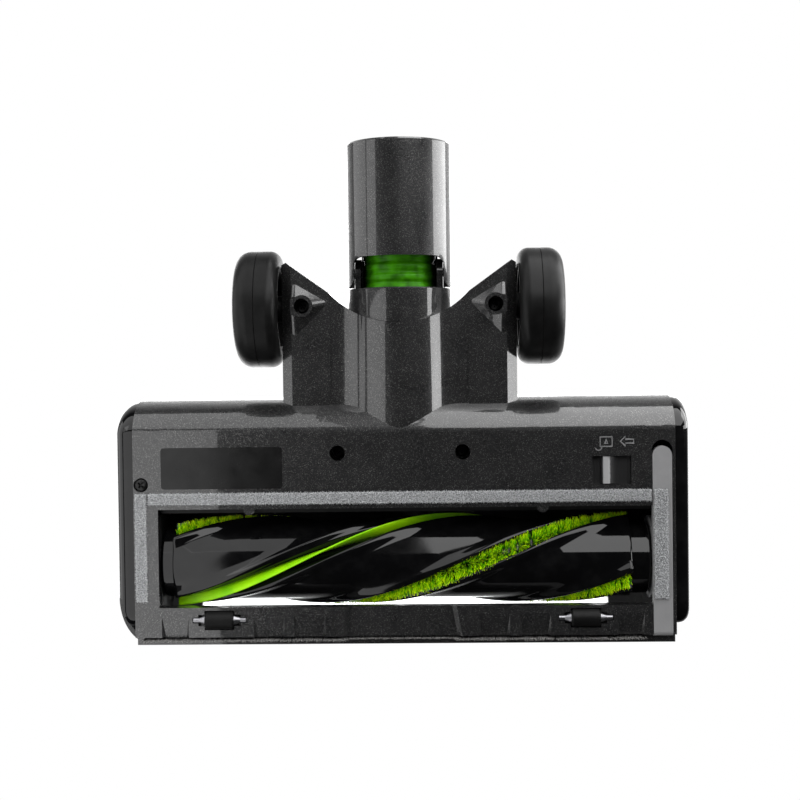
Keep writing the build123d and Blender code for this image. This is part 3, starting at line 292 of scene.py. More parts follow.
# charcoal plastic with fine metal flakes under a clear coat
shellLook = {"dark": (0.014, 0.014, 0.0145), "mid": (0.020, 0.020, 0.0206), "flake": (0.125, 0.124, 0.121),
             "flakeStart": 0.86, "flakeSize": 0.22 * mm, "flakeTilt": 0.17, "metal": 0.55, "coatRoughness": 0.035,
             "worn": (14.0 * mm, 4.0, 0.3, 0.7, 0.25, 0.37), "peel": (6.0 * mm, 1.0, 0.02, 0.1 * mm)}


def makeShellLook():
    look, tree, shader = newLook("charcoalFlakePlastic")
    inputs = {"Vector": spot(tree), "Scale": 1 / shellLook["flakeSize"]}
    cells = place(tree, "ShaderNodeTexVoronoi", inputs).outputs["Color"]
    tone = place(tree, "ShaderNodeSeparateColor", {"Color": cells}).outputs["Red"]
    color = ramp(tree, tone, (0.0, shellLook["dark"]), (shellLook["flakeStart"], shellLook["mid"]),
                 (1.0, shellLook["flake"]))
    # each flake lies a little askew, the coat over them is smooth
    askew = stretch(tree, calcVector(tree, "SUBTRACT", cells, (0.5, 0.5, 0.5)), shellLook["flakeTilt"])
    straight = place(tree, "ShaderNodeNewGeometry").outputs["Normal"]
    tilted = calcVector(tree, "NORMALIZE", calcVector(tree, "ADD", straight, askew))
    fill(tree, shader, {"Base Color": color, "Roughness": patchy(tree, *shellLook["worn"]),
                        "Metallic": shellLook["metal"], "Coat Weight": 1.0,
                        "Coat Roughness": shellLook["coatRoughness"], "Normal": tilted,
                        "Coat Normal": grain(tree, *shellLook["peel"])})
    return look


# smooth black plastic with dust and smears
blackLook = {"base": (0.0016, 0.0016, 0.0018), "dust": (0.005, 0.005, 0.0052), "dustCloud": (9.0 * mm, 6.0, 0.65),
             "smear": (22.0 * mm, 5.0, 0.4, 0.8, 0.045, 0.135), "shine": 0.36,
             "wave": (3.5 * mm, 1.0, 0.03, 0.1 * mm)}


def makeBlackLook():
    look, tree, shader = newLook("glossBlackPlastic")
    color = ramp(tree, cloud(tree, *blackLook["dustCloud"]), (0.45, blackLook["base"]), (0.85, blackLook["dust"]))
    fill(tree, shader, {"Base Color": color, "Roughness": patchy(tree, *blackLook["smear"]),
                        "Specular IOR Level": blackLook["shine"], "Normal": grain(tree, *blackLook["wave"])})
    return look


# plain moulded plastic and rubber with a fine grain
mouldedLook = {"mottle": (5.0 * mm, 8.0, 0.6), "patch": (8.0 * mm, 4.0, 0.3, 0.7), "patchRise": 0.06,
               "grainDepth": 0.06 * mm}


def makeMouldedLook(name, base, light, roughness, speckle=0.25 * mm, strength=0.16, shine=0.5):
    look, tree, shader = newLook(name)
    color = ramp(tree, cloud(tree, *mouldedLook["mottle"]), (0.25, base), (0.8, light))
    rise = mouldedLook["patchRise"]
    dull = patchy(tree, *mouldedLook["patch"], roughness - rise, roughness + rise)
    fill(tree, shader, {"Base Color": color, "Roughness": dull, "Specular IOR Level": shine,
                        "Normal": grain(tree, speckle, 2.0, strength, mouldedLook["grainDepth"])})
    return look


# metal with fine scratches along its lay
metalLook = {"scratches": 900.0, "smoother": 0.07, "rougher": 0.09, "strength": 0.08, "depth": 0.03 * mm}


def makeMetalLook(name, base, light, roughness, lay=(40.0, 1.0, 1.0)):
    look, tree, shader = newLook(name)
    lines = place(tree, "ShaderNodeMapping", {"Vector": spot(tree), "Scale": lay}).outputs["Vector"]
    inputs = {"Vector": lines, "Scale": metalLook["scratches"], "Detail": 3.0}
    scratch = place(tree, "ShaderNodeTexNoise", inputs).outputs["Fac"]
    dull = between(tree, scratch, 0.2, 0.8, roughness - metalLook["smoother"], roughness + metalLook["rougher"])
    fill(tree, shader, {"Base Color": ramp(tree, scratch, (0.3, base), (0.7, light)), "Metallic": 1.0,
                        "Roughness": dull, "Normal": bump(tree, scratch, metalLook["strength"], metalLook["depth"])})
    return look


# clear window with a black border at either end
clearLook = {"tint": (0.93, 0.94, 0.94), "border": (0.004, 0.004, 0.004), "borderStart": 93.0 * mm,
             "borderSoft": 1.5 * mm, "wipe": (12.0 * mm, 5.0, 0.45, 0.8, 0.02, 0.08), "ior": 1.49}


def makeClearLook():
    look, tree, shader = newLook("clearNosePlastic")
    start = clearLook["borderStart"]
    sideways = calc(tree, "ABSOLUTE", spotOn(tree, "X"))
    border = between(tree, sideways, start, start + clearLook["borderSoft"], 0.0, 1.0)
    color = ramp(tree, border, (0.0, clearLook["tint"]), (1.0, clearLook["border"]))
    fill(tree, shader, {"Base Color": color, "IOR": clearLook["ior"], "Transmission Weight": 1.0,
                        "Roughness": patchy(tree, *clearLook["wipe"])})
    return look


# hairs get lighter from root to tip, the dark roots being painted shade among the hairs, and each one is a little
# different
hairLook = {"toneDown": -0.30, "toneUp": 0.16, "spread": 0.1, "shine": 0.15}


def makeHairLook(name, root, middle, tip, roughness):
    look, tree, shader = newLook(name)
    along = place(tree, "ShaderNodeAttribute", attribute_name="along").outputs["Fac"]
    tone = place(tree, "ShaderNodeAttribute", attribute_name="tone").outputs["Fac"]
    shifted = plus(tree, along, between(tree, tone, 0.0, 1.0, hairLook["toneDown"], hairLook["toneUp"]))
    dull = between(tree, tone, 0.0, 1.0, roughness - hairLook["spread"], roughness + hairLook["spread"])
    fill(tree, shader, {"Base Color": ramp(tree, shifted, (0.25, root), (0.65, middle), (1.0, tip)),
                        "Roughness": dull, "Specular IOR Level": hairLook["shine"]})
    return look


bladeLook = {"low": (0.12, 0.40, 0.001), "high": (0.32, 0.66, 0.002), "mottle": (16.0 * mm, 4.0), "roughness": 0.42,
             "shine": 0.15, "depthShare": 0.15, "depth": (0.6 * mm, 0.9 * mm, 0.2 * mm),
             "grain": (0.6 * mm, 2.0, 0.08, 0.05 * mm)}


def makeBladeLook():
    look, tree, shader = newLook("limeSoftBlade")
    color = ramp(tree, cloud(tree, *bladeLook["mottle"]), (0.3, bladeLook["low"]), (0.7, bladeLook["high"]))
    fill(tree, shader, {"Base Color": color, "Roughness": bladeLook["roughness"],
                        "Specular IOR Level": bladeLook["shine"], "Subsurface Weight": bladeLook["depthShare"],
                        "Subsurface Radius": bladeLook["depth"], "Normal": grain(tree, *bladeLook["grain"])})
    return look


# green hose whose sides go black with painted shade
hoseLook = {"dark": (0.012, 0.075, 0.0004), "light": (0.050, 0.28, 0.0006), "mottle": (6.0 * mm, 4.0),
            "side": (0.002, 0.006, 0.0004), "sideShadeStart": 10.5 * mm, "sideShadeEnd": 15.0 * mm, "shine": 0.12,
            "dull": (4.0 * mm, 3.0, 0.3, 0.7, 0.30, 0.42), "grain": (0.5 * mm, 2.0, 0.06, 0.05 * mm)}


def makeHoseLook():
    look, tree, shader = newLook("greenHoseRubber")
    color = ramp(tree, cloud(tree, *hoseLook["mottle"]), (0.3, hoseLook["dark"]), (0.75, hoseLook["light"]))
    # painted shade: the colour fades to near black towards the hose's sides
    sideways = calc(tree, "ABSOLUTE", spotOn(tree, "X"))
    paintedSideShade = between(tree, sideways, hoseLook["sideShadeStart"], hoseLook["sideShadeEnd"], 0.0, 1.0)
    inputs = {0: paintedSideShade, 6: color, 7: (*hoseLook["side"], 1.0)}  # the sockets that take colours
    mixed = place(tree, "ShaderNodeMix", inputs, data_type="RGBA").outputs[2]
    fill(tree, shader, {"Base Color": mixed, "Roughness": patchy(tree, *hoseLook["dull"]),
                        "Specular IOR Level": hoseLook["shine"], "Normal": grain(tree, *hoseLook["grain"])})
    return look


feltLook = {"dark": (0.07, 0.071, 0.073), "mid": (0.24, 0.245, 0.25), "light": (0.54, 0.55, 0.56),
            "fleck": (0.52 * mm, 3.0, 0.7), "roughness": 0.95, "sheen": 0.25, "sheenRoughness": 0.5,
            "strength": 0.5, "depth": 0.2 * mm}


def makeFeltLook():
    look, tree, shader = newLook("greyPileFelt")
    flecks = cloud(tree, *feltLook["fleck"])
    stops = ((0.34, feltLook["dark"]), (0.48, feltLook["mid"]), (0.68, feltLook["light"]))
    fill(tree, shader, {"Base Color": ramp(tree, flecks, *stops), "Roughness": feltLook["roughness"],
                        "Sheen Weight": feltLook["sheen"], "Sheen Roughness": feltLook["sheenRoughness"],
                        "Normal": bump(tree, flecks, feltLook["strength"], feltLook["depth"])})
    return look


# black latch whose thumb rib tip is painted grey as painted light on the rib
latchLook = {"base": (0.007, 0.007, 0.0072), "paintedRibLight": (0.22, 0.22, 0.223), "paintedRibLightDepth": 0.7 * mm,
             "ragged": (1.5 * mm, 4.0, 0.3, 0.7, -0.12 * mm, 0.12 * mm), "roughness": 0.38,
             "grain": (0.25 * mm, 2.0, 0.12, 0.06 * mm)}


def makeLatchLook():
    look, tree, shader = newLook("latchBlackPlastic")
    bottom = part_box("brush_latch")[0].z
    # painted light: grey in a ragged band next to the latch's lowest face, the rib's tip
    ragged = plus(tree, spotOn(tree, "Z"), patchy(tree, *latchLook["ragged"]))
    paintedRibLight = between(tree, ragged, bottom, bottom + latchLook["paintedRibLightDepth"], 0.0, 1.0)
    color = ramp(tree, paintedRibLight, (0.0, latchLook["paintedRibLight"]), (0.55, latchLook["paintedRibLight"]), (1.0, latchLook["base"]))
    fill(tree, shader, {"Base Color": color, "Roughness": latchLook["roughness"],
                        "Normal": grain(tree, *latchLook["grain"])})
    return look


def grey(level):
    return (level, level, level)


# name, darker and lighter tone, roughness, then grain size, grain strength and shine where they differ
charcoalFlake = makeShellLook()
glossBlack = makeBlackLook()
mouldedBlack = makeMouldedLook("mouldedBlackPlastic", (0.004, 0.004, 0.0042), (0.009, 0.009, 0.0092), 0.5, shine=0.2)
latchBlack = makeLatchLook()
rollerBlack = makeMouldedLook("rollerBlackPlastic", grey(0.0025), grey(0.005), 0.45, shine=0.12)
coverGrey = makeMouldedLook("coverGreyPlastic", (0.150, 0.150, 0.152), (0.172, 0.172, 0.175), 0.5)
# the grey of the marks is painted highlight on their raised lines
markHighlightGrey = makeMouldedLook("markPaintedHighlight", (0.10, 0.10, 0.102), (0.15, 0.15, 0.152), 0.4)
tyreRubber = makeMouldedLook("tyreRubber", grey(0.0025), grey(0.006), 0.38, 0.5 * mm, 0.08, 0.16)
beltRubber = makeMouldedLook("beltRubber", grey(0.012), grey(0.03), 0.6)
boardGreen = makeMouldedLook("boardGreen", (0.012, 0.07, 0.02), (0.025, 0.11, 0.035), 0.4)
plateDark = makeMouldedLook("plateDarkFoil", grey(0.004), grey(0.008), 0.22, 0.8 * mm, 0.05, 0.25)
evenLay = (1.0, 1.0, 1.0)
brightSteel = makeMetalLook("brightSteel", (0.42, 0.42, 0.43), grey(0.66), 0.26)
motorSteel = makeMetalLook("platedMotorCan", (0.34, 0.34, 0.35), grey(0.5), 0.34, evenLay)
blackSteel = makeMetalLook("blackOxideSteel", grey(0.012), grey(0.035), 0.36, evenLay)
brassMetal = makeMetalLook("turnedBrass", (0.55, 0.36, 0.10), (0.78, 0.55, 0.2), 0.24)
pinGrey = makeMetalLook("greyPin", (0.20, 0.20, 0.21), (0.36, 0.36, 0.38), 0.34)
clearNose = makeClearLook()
greenHair = makeHairLook("greenBristle", (0.002, 0.016, 0.0002), (0.11, 0.56, 0.0008), (0.80, 1.0, 0.004), 0.45)
fringeHair = makeHairLook("fringeBristle", (0.04, 0.039, 0.038), (0.15, 0.147, 0.142), (0.34, 0.335, 0.325), 0.5)
limeBlade = makeBladeLook()
greenHose = makeHoseLook()
greyFelt = makeFeltLook()

useLook(charcoalFlake, "base_shell", "top_cover", "swivel_collar", "neck_tube")
useLook(glossBlack, "drive_end_cap", "release_end_cap", "brush_core", "hub_cap_left", "hub_cap_right",
        "brush_drive_end", "brush_idle_end")
useLook(mouldedBlack, "brush_chamber", "air_duct", "drive_dog", "driven_pulley", "motor_pulley",
        "wheel_hub_left", "wheel_hub_right")
useLook(latchBlack, "brush_latch")
useLook(coverGrey, "brush_end_cover")
useLook(clearNose, "clear_window")
useLook(brightSteel, "motor_shaft", "drive_bearing", "idle_bearing", "brush_idle_pin",
        "hinge_pins", "wheel_axle_left", "wheel_axle_right")
useLook(pinGrey, "roller_axle_left", "roller_axle_right")
useLook(rollerBlack, "front_roller_left", "front_roller_right")
useLook(tyreRubber, "wheel_tyre_left", "wheel_tyre_right")
useLook(motorSteel, "brush_motor")
useLook(beltRubber, "drive_belt")
useLook(boardGreen, "control_board")
useLook(brassMetal, "contact_pins")
print("looks set on the moulded pieces")


# hairs that the bristle rows, the felt and the fringe are grown from
def makeHair(name, rings, sides=3):
    points = []
    faces = []
    along = []
    for height, radius, lean in rings:
        for step in range(sides):
            turn = 2 * math.pi * step / sides
            points.append((radius * math.cos(turn) + lean, radius * math.sin(turn), height))
            along.append(height)
    last = (len(rings) - 1) * sides
    for start in range(0, last, sides):
        for step in range(sides):
            a = start + step
            b = start + (step + 1) % sides
            faces.append((a, b, b + sides, a + sides))
    faces.append(tuple(last + step for step in range(sides)))
    faces.append(tuple(reversed(range(sides))))
    mesh = meshFrom(name, points, faces)
    mesh.attributes.new("along", "FLOAT", "POINT").data.foreach_set("value", along)
    return addObject(name, mesh)


bristleHair = makeHair("bristleHair", ((0.0, 1.0, 0.0), (0.55, 0.95, 0.25), (1.0, 0.55, 1.1)))
pileHair = makeHair("pileHair", ((0.0, 1.0, 0.0), (1.0, 0.3, 0.8)))  # height, radius and lean of each ring

# bristle rows, wound round the roll in tufts; the dictionary holds the named inputs of their tree
brushRow = {"Tufts": 98, "Hairs Per Tuft": 84, "Length": 199.0 * mm, "Pitch": 255.0 * mm, "Phase": 0.0,
            "Root": 14.4 * mm, "Tip": 20.45 * mm, "Shortest": 0.74, "Longest": 0.99, "Width": 2.0 * mm,
            "Tuft Spread": 1.65 * mm, "Thickness": 0.12 * mm, "Lean": 0.28, "Hair Lean": 0.8, "Tuft Swing": 0.6,
            "Hair Swing": 0.5, "Splay": 1.7, "Full Turn": 6.283, "Axis Y": -75.0 * mm, "Axis Z": 20.7 * mm,
            "Seed": 0, "Hair": bristleHair, "Material": greenHair}


def makeRowTree():
    tree, given = startTree("bristleRow", brushRow)
    seed = given["Seed"]
    count = times(tree, given["Tufts"], given["Hairs Per Tuft"])
    points = first(tree, "GeometryNodePoints", {"Count": count})
    index = first(tree, "GeometryNodeInputIndex")
    tuft = calc(tree, "FLOOR", calc(tree, "DIVIDE", plus(tree, index, 0.5), given["Hairs Per Tuft"]))
    # along the roll, kept inside its ends
    half = times(tree, given["Tuft Spread"], 0.5)
    share = calc(tree, "SUBTRACT", calc(tree, "DIVIDE", plus(tree, tuft, 0.5), given["Tufts"]), 0.5)
    tuftX = times(tree, share, given["Length"])
    x = plus(tree, tuftX, eitherWay(tree, half, seed))
    edge = times(tree, given["Length"], 0.5)
    x = calc(tree, "MINIMUM", calc(tree, "MAXIMUM", x, minus(tree, edge)), edge)
    # round the roll
    twist = calc(tree, "DIVIDE", times(tree, x, 2 * math.pi), given["Pitch"])
    angle = calc(tree, "SUBTRACT", given["Phase"], twist)
    sine = calc(tree, "SINE", angle)
    cosine = calc(tree, "COSINE", angle)
    outward = joinXyz(tree, 0.0, sine, minus(tree, cosine))
    sideways = joinXyz(tree, 0.0, cosine, sine)
    across = randomFloat(tree, -0.5, 0.5, seed, 1)
    axis = joinXyz(tree, x, given["Axis Y"], given["Axis Z"])
    base = calcVector(tree, "ADD", axis, stretch(tree, outward, given["Root"]))
    position = calcVector(tree, "ADD", base, stretch(tree, sideways, times(tree, across, given["Width"])))
    # tufts lean together, and their hairs spread sideways
    hairLean = times(tree, randomFloat(tree, -1.0, 1.0, seed, 3), given["Hair Lean"])
    leanX = plus(tree, randomFloat(tree, -1.0, 1.0, seed, 2, tuft), hairLean)
    leanX = times(tree, leanX, given["Lean"])
    swing = plus(tree, eitherWay(tree, given["Tuft Swing"], seed, 4, tuft),
                 eitherWay(tree, given["Hair Swing"], seed, 5))
    leanSide = plus(tree, times(tree, across, given["Splay"]),
                    times(tree, swing, given["Lean"]))
    direction = calcVector(tree, "ADD", outward, joinXyz(tree, leanX, 0.0, 0.0))
    direction = calcVector(tree, "ADD", direction, stretch(tree, sideways, leanSide))
    spin = joinXyz(tree, 0.0, 0.0, randomFloat(tree, 0.0, given["Full Turn"], seed, 6))
    rolled = first(tree, "FunctionNodeEulerToRotation", {"Euler": spin})
    reach = calc(tree, "SUBTRACT", given["Tip"], given["Root"])
    moved = first(tree, "GeometryNodeSetPosition", {"Geometry": points, "Position": position})
    planted = plantHairs(tree, given, moved, direction, reach, 7, rolled)
    return finishTree(tree, given, toneHairs(tree, planted, seed, 8))


rowTree = makeRowTree()
for rowName, phase, seed in (("bristle_row_a", 194.0, 11), ("bristle_row_b", -46.0, 29)):  # angle at the middle
    row = growPiece(rowName + "_tufts", rowTree, dict(brushRow, Phase=math.radians(phase), Seed=seed))
    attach(row, "brush")
    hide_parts(rowName)
    print("bristle row grown:", rowName, len(row.data.polygons), "faces")


# soft blade: a thin fin in its groove, leaning a little and narrower towards its tip
softBlade = {"phase": 66.0, "length": 199.6 * mm, "sections": 150, "tip": 20.1, "lean": 0.22,
             "profile": ((-0.8, 12.0), (-0.65, 15.5), (-0.55, 18.0), (-0.45, 19.7), (-0.25, 20.1), (0.25, 20.1),
                         (0.45, 19.7), (0.55, 18.0), (0.65, 15.5), (0.8, 12.0))}  # half width and radius, in mm


def makeBlade():
    points = []
    for section in range(softBlade["sections"] + 1):
        x = softBlade["length"] * (section / softBlade["sections"] - 0.5)
        turn = math.radians(softBlade["phase"] - 360.0 * x / brushRow["Pitch"])
        outward = Vector((0.0, math.sin(turn), -math.cos(turn)))
        sideways = Vector((0.0, math.cos(turn), math.sin(turn)))
        middle = Vector((x, brushRow["Axis Y"], brushRow["Axis Z"]))
        for half, radius in softBlade["profile"]:
            slant = (softBlade["tip"] - radius) * softBlade["lean"]
            points.append(tuple(middle + outward * radius * mm + sideways * (half + slant) * mm))
    return sweepMesh("soft_blade_fin", points, len(softBlade["profile"]), limeBlade, smooth=True)


fin = addObject("soft_blade_fin", makeBlade())
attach(fin, "brush")
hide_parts("soft_blade")
print("soft blade made:", len(fin.data.polygons), "faces")

# roll core: a ridge on either side of each strip's groove, all twisted along the roll
outerRidge = ((-30, 0.0), (-27, 0.08), (-24, 0.30), (-21, 0.62), (-18, 0.88), (-15.5, 1.0), (-13, 0.97), (-11, 0.78))
rollCore = {"radius": 17.3 * mm, "sections": 170, "grooveHalf": 8.5, "grooveEdge": 11, "ridgeEnd": 30,
            "plainSpan": 60, "plainSteps": 7,
            "strips": ((194.0, 19.4, 14.8), (-46.0, 19.4, 14.8), (66.0, 18.9, 12.4)),  # angle, crest, groove in mm
            "ridge": outerRidge + tuple((-offset, rise) for offset, rise in reversed(outerRidge)),
            "bladeRidge": outerRidge + ((11, 0.0), (14, 0.12), (17, 0.45), (19.5, 0.85), (22, 1.0), (24.5, 0.85),
                                        (27, 0.40), (30, 0.0))}  # angle from the strip and share of the crest


def makeRollRing():
    ring = []
    radius = rollCore["radius"]
    for stripAngle, crest, groove in sorted((angle % 360.0, top, floor) for angle, top, floor in rollCore["strips"]):
        for offset, rise in rollCore["bladeRidge" if stripAngle == softBlade["phase"] else "ridge"]:
            if offset == rollCore["grooveEdge"]:  # the groove's floor lies between the two ridges
                ring += [(stripAngle + side * rollCore["grooveHalf"], groove * mm) for side in (-1, -0.5, 0, 0.5, 1)]
            ring.append((stripAngle + offset, radius + rise * (crest * mm - radius)))
        for step in range(1, rollCore["plainSteps"]):
            plain = rollCore["plainSpan"] * step / rollCore["plainSteps"]
            ring.append((stripAngle + rollCore["ridgeEnd"] + plain, radius))
    return ring


def makeRollCore():
    low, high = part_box("brush_core")
    ring = makeRollRing()
    points = []
    for section in range(rollCore["sections"] + 1):
        x = low.x + (high.x - low.x) * section / rollCore["sections"]
        twist = 360.0 * x / brushRow["Pitch"]
        for angle, radius in ring:
            turn = math.radians(angle - twist)
            y = brushRow["Axis Y"] + radius * math.sin(turn)
            points.append((x, y, brushRow["Axis Z"] - radius * math.cos(turn)))
    return sweepMesh("brush_core_turned", points, len(ring), glossBlack, smooth=True)


roll = addObject("brush_core_turned", makeRollCore())
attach(roll, "brush")
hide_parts("brush_core")
print("roll core made:", len(roll.data.polygons), "faces")


# felt strips round the mouth: a wavy pad, and the pile that grows on it
feltPad = {"inset": 0.45 * mm, "cell": 0.9 * mm, "lift": 0.3 * mm, "wobble": 0.16 * mm, "wobbleSize": 1.6 * mm,
           "bareTop": 0.15 * mm}
feltPile = {"Hairs Per Square Metre": 8.0e6, "Hair Length": 0.80 * mm, "Shortest": 0.55, "Longest": 1.0,
            "Thickness": 0.11 * mm, "Lean": 0.85, "Ceiling": 0.0, "Seed": 0, "Hair": pileHair,
            "Material": greyFelt}
noise.seed_set(7)  # the same waves in every run


# a grid of wavy points that faces the floor, walls round its rim and a flat top
def makePad(name, low, high):
    inset = feltPad["inset"]
    size = high - low
    cellsX, cellsY = [max(2, int(round(length / feltPad["cell"]))) for length in (size.x, size.y)]
    wide = cellsX + 1
    points = []
    for row in range(cellsY + 1):
        for step in range(wide):
            x = low.x + inset + step / cellsX * (size.x - 2 * inset)
            y = low.y + inset + row / cellsY * (size.y - 2 * inset)
            shake = noise.noise_vector(Vector((x, y, 0.0)) / feltPad["wobbleSize"]) * feltPad["wobble"]
            points.append((x + shake.x, y + shake.y, low.z + feltPad["lift"] + abs(shake.z)))
    total = len(points)
    corners = [row * wide + step for row in range(cellsY) for step in range(cellsX)]
    faces = [(a, a + wide, a + wide + 1, a + 1) for a in corners]
    rim = [*range(wide), *range(2 * wide - 1, total, wide), *range(total - 2, total - wide - 1, -1),
           *range(total - 2 * wide, 0, -wide)]
    points += [(points[a][0], points[a][1], high.z) for a in rim]
    for step, a in enumerate(rim):
        after = (step + 1) % len(rim)
        faces.append((a, rim[after], total + after, total + step))
    faces.append(tuple(range(total, len(points))))
    return meshFrom(name, points, faces)


def makePileTree():
    tree, given = startTree("feltPile", feltPile)
    seed = given["Seed"]
    where = first(tree, "GeometryNodeInputPosition")
    inputs = {0: place(tree, "ShaderNodeSeparateXYZ", {"Vector": where}).outputs["Z"], 1: given["Ceiling"]}
    below = first(tree, "FunctionNodeCompare", inputs, data_type="FLOAT", operation="LESS_THAN")
    inputs = {"Mesh": given["Geometry"], "Selection": below, "Density": given["Hairs Per Square Metre"], "Seed": seed}
    strewn = place(tree, "GeometryNodeDistributePointsOnFaces", inputs).outputs
    leanX, leanY = [eitherWay(tree, given["Lean"], seed, shift) for shift in (1, 2)]
    direction = calcVector(tree, "ADD", strewn["Normal"], joinXyz(tree, leanX, leanY, 0.0))
    planted = plantHairs(tree, given, strewn["Points"], direction, given["Hair Length"], 3)
    return finishTree(tree, given, joinShapes(tree, planted, given["Geometry"]))


pileTree = makePileTree()
for stripName, seed in (("felt_strip_rear", 3), ("felt_strip_left", 7), ("felt_strip_right", 13)):
    low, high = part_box(stripName)
    sizes = dict(feltPile, Ceiling=high.z - feltPad["bareTop"], Seed=seed)
    strip = growPiece(stripName + "_pile", pileTree, sizes, makePad(stripName + "_pad", low, high))
    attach(strip, "base")
    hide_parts(stripName)
    print("felt strip grown:", stripName, len(strip.data.polygons), "faces")


# fringe ahead of the lip, shorter at its middle
low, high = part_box("front_fringe")
fringeRoom = {"side": 0.3 * mm, "back": 0.2 * mm, "frontShare": 0.66}
fringeRow = {"Hairs": 2600, "Left": low.x + fringeRoom["side"], "Right": high.x - fringeRoom["side"],
             "Front": low.y + fringeRoom["frontShare"] * (high.y - low.y), "Back": high.y - fringeRoom["back"],
             "Top": high.z, "Bottom": low.z, "Middle Half": 23.5 * mm, "Middle Lift": 3.0 * mm, "Shortest": 0.72,
             "Longest": 0.96, "Thickness": 0.10 * mm, "Lean": 0.20, "Lean Front": 0.16, "Seed": 41,
             "Hair": bristleHair, "Material": fringeHair}


def makeFringeTree():
    tree, given = startTree("fringeRow", fringeRow)
    seed = given["Seed"]
    points = first(tree, "GeometryNodePoints", {"Count": given["Hairs"]})
    x = randomFloat(tree, given["Left"], given["Right"], seed)
    y = randomFloat(tree, given["Front"], given["Back"], seed, 1)
    inputs = {"Geometry": points, "Position": joinXyz(tree, x, y, given["Top"])}
    moved = first(tree, "GeometryNodeSetPosition", inputs)
    middle = calc(tree, "LESS_THAN", calc(tree, "ABSOLUTE", x), given["Middle Half"])
    full = calc(tree, "SUBTRACT", given["Top"], given["Bottom"])
    room = calc(tree, "SUBTRACT", full, times(tree, middle, given["Middle Lift"]))
    leanX = eitherWay(tree, given["Lean"], seed, 3)
    leanY = randomFloat(tree, minus(tree, given["Lean Front"]), 0.0, seed, 5)
    planted = plantHairs(tree, given, moved, joinXyz(tree, leanX, leanY, -1.0), room, 2)
    return finishTree(tree, given, toneHairs(tree, planted, seed, 4))


fringe = growPiece("front_fringe_hairs", makeFringeTree(), fringeRow)
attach(fringe, "base")
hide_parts("front_fringe")
print("fringe grown:", len(fringe.data.polygons), "faces")
for spare in (bristleHair, pileHair):
    bpy.data.objects.remove(spare)


# corrugated hose, which bends between the collar and the tube
hoseRibs = {"ribs": 10, "pitch": 4.7 * mm, "root": 15.5 * mm, "crest": 16.35 * mm, "bore": 12.3 * mm,
            "boreSteps": 24, "cuff": 15.35 * mm, "cuffLength": 9.5 * mm, "shoulder": 0.5 * mm,
            "shoulderEnd": 0.8 * mm, "shoulderDrop": 0.2 * mm, "endRound": 0.3 * mm, "front": 10.3 * mm,
            "axisZ": 28.8 * mm, "sides": 72, "weld": 0.005 * mm,
            "profile": ((0.0, 0.0), (0.10, 0.12), (0.20, 0.55), (0.30, 0.90), (0.40, 1.0), (0.60, 1.0),
                        (0.70, 0.90), (0.80, 0.55), (0.90, 0.12), (1.0, 0.0))}  # share of the pitch and of the rise


def spinRings(name, rings):
    points = []
    sides = hoseRibs["sides"]
    for y, radius in rings:
        for step in range(sides):
            turn = 2 * math.pi * step / sides
            points.append((radius * math.sin(turn), y, hoseRibs["axisZ"] + radius * math.cos(turn)))
    return meshFrom(name, points, ringFaces(len(points), sides))


def cuffRings(ribsSide, openSide):
    way = 1 if openSide > ribsSide else -1
    cuff = hoseRibs["cuff"]
    return [(ribsSide, hoseRibs["root"]), (ribsSide + way * hoseRibs["shoulder"], cuff - hoseRibs["shoulderDrop"]),
            (ribsSide + way * hoseRibs["shoulderEnd"], cuff), (openSide - way * hoseRibs["endRound"], cuff),
            (openSide, cuff - hoseRibs["endRound"])]


def makeHoseTree(sizes):
    tree, given = startTree("hoseRibs", sizes)
    inputs = {"Count": given["Ribs"], "Start Location": joinXyz(tree, 0.0, given["Start"], 0.0),
              "Offset": joinXyz(tree, 0.0, given["Pitch"], 0.0)}
    line = first(tree, "GeometryNodeMeshLine", inputs)
    rib = place(tree, "GeometryNodeObjectInfo", {"Object": given["Rib"]}).outputs["Geometry"]
    ribs = first(tree, "GeometryNodeInstanceOnPoints", {"Points": line, "Instance": rib})
    both = joinShapes(tree, ribs, given["Geometry"])
    solid = first(tree, "GeometryNodeRealizeInstances", {"Geometry": both})
    inputs = {"Geometry": solid, "Distance": hoseRibs["weld"]}
    welded = first(tree, "GeometryNodeMergeByDistance", inputs)
    smooth = first(tree, "GeometryNodeSetShadeSmooth", {"Geometry": welded})
    return finishTree(tree, given, smooth)


ribsStart = hoseRibs["front"] + hoseRibs["cuffLength"]
ribsEnd = ribsStart + hoseRibs["ribs"] * hoseRibs["pitch"]
hoseEnd = ribsEnd + hoseRibs["cuffLength"]
ribHeight = hoseRibs["crest"] - hoseRibs["root"]
ribRing = addObject("hoseRib", spinRings("hoseRib", [
    (share * hoseRibs["pitch"], hoseRibs["root"] + rise * ribHeight) for share, rise in hoseRibs["profile"]]))
boreRings = [(hoseEnd + (hoseRibs["front"] - hoseEnd) * step / hoseRibs["boreSteps"], hoseRibs["bore"])
             for step in range(hoseRibs["boreSteps"] + 1)]
outerRings = cuffRings(ribsEnd, hoseEnd) + boreRings + cuffRings(ribsStart, hoseRibs["front"])[::-1]
sizes = {"Ribs": hoseRibs["ribs"], "Pitch": hoseRibs["pitch"], "Start": ribsStart, "Rib": ribRing,
         "Material": greenHose}
hose = growPiece("flex_hose_ribbed", makeHoseTree(sizes), sizes, spinRings("hoseCuffs", outerRings))
bpy.data.objects.remove(ribRing)
faceOutward(hose.data)
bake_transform(hose)
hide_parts("flex_hose")
print("hose grown:", len(hose.data.polygons), "faces")


# black sleeve behind the hose, open towards the floor
hoseSleeve = {"outer": 18.6 * mm, "inner": 18.0 * mm, "start": 38.5 * mm, "end": 67.5 * mm, "rings": 24,
              "from": 22, "to": 158, "steps": 34}


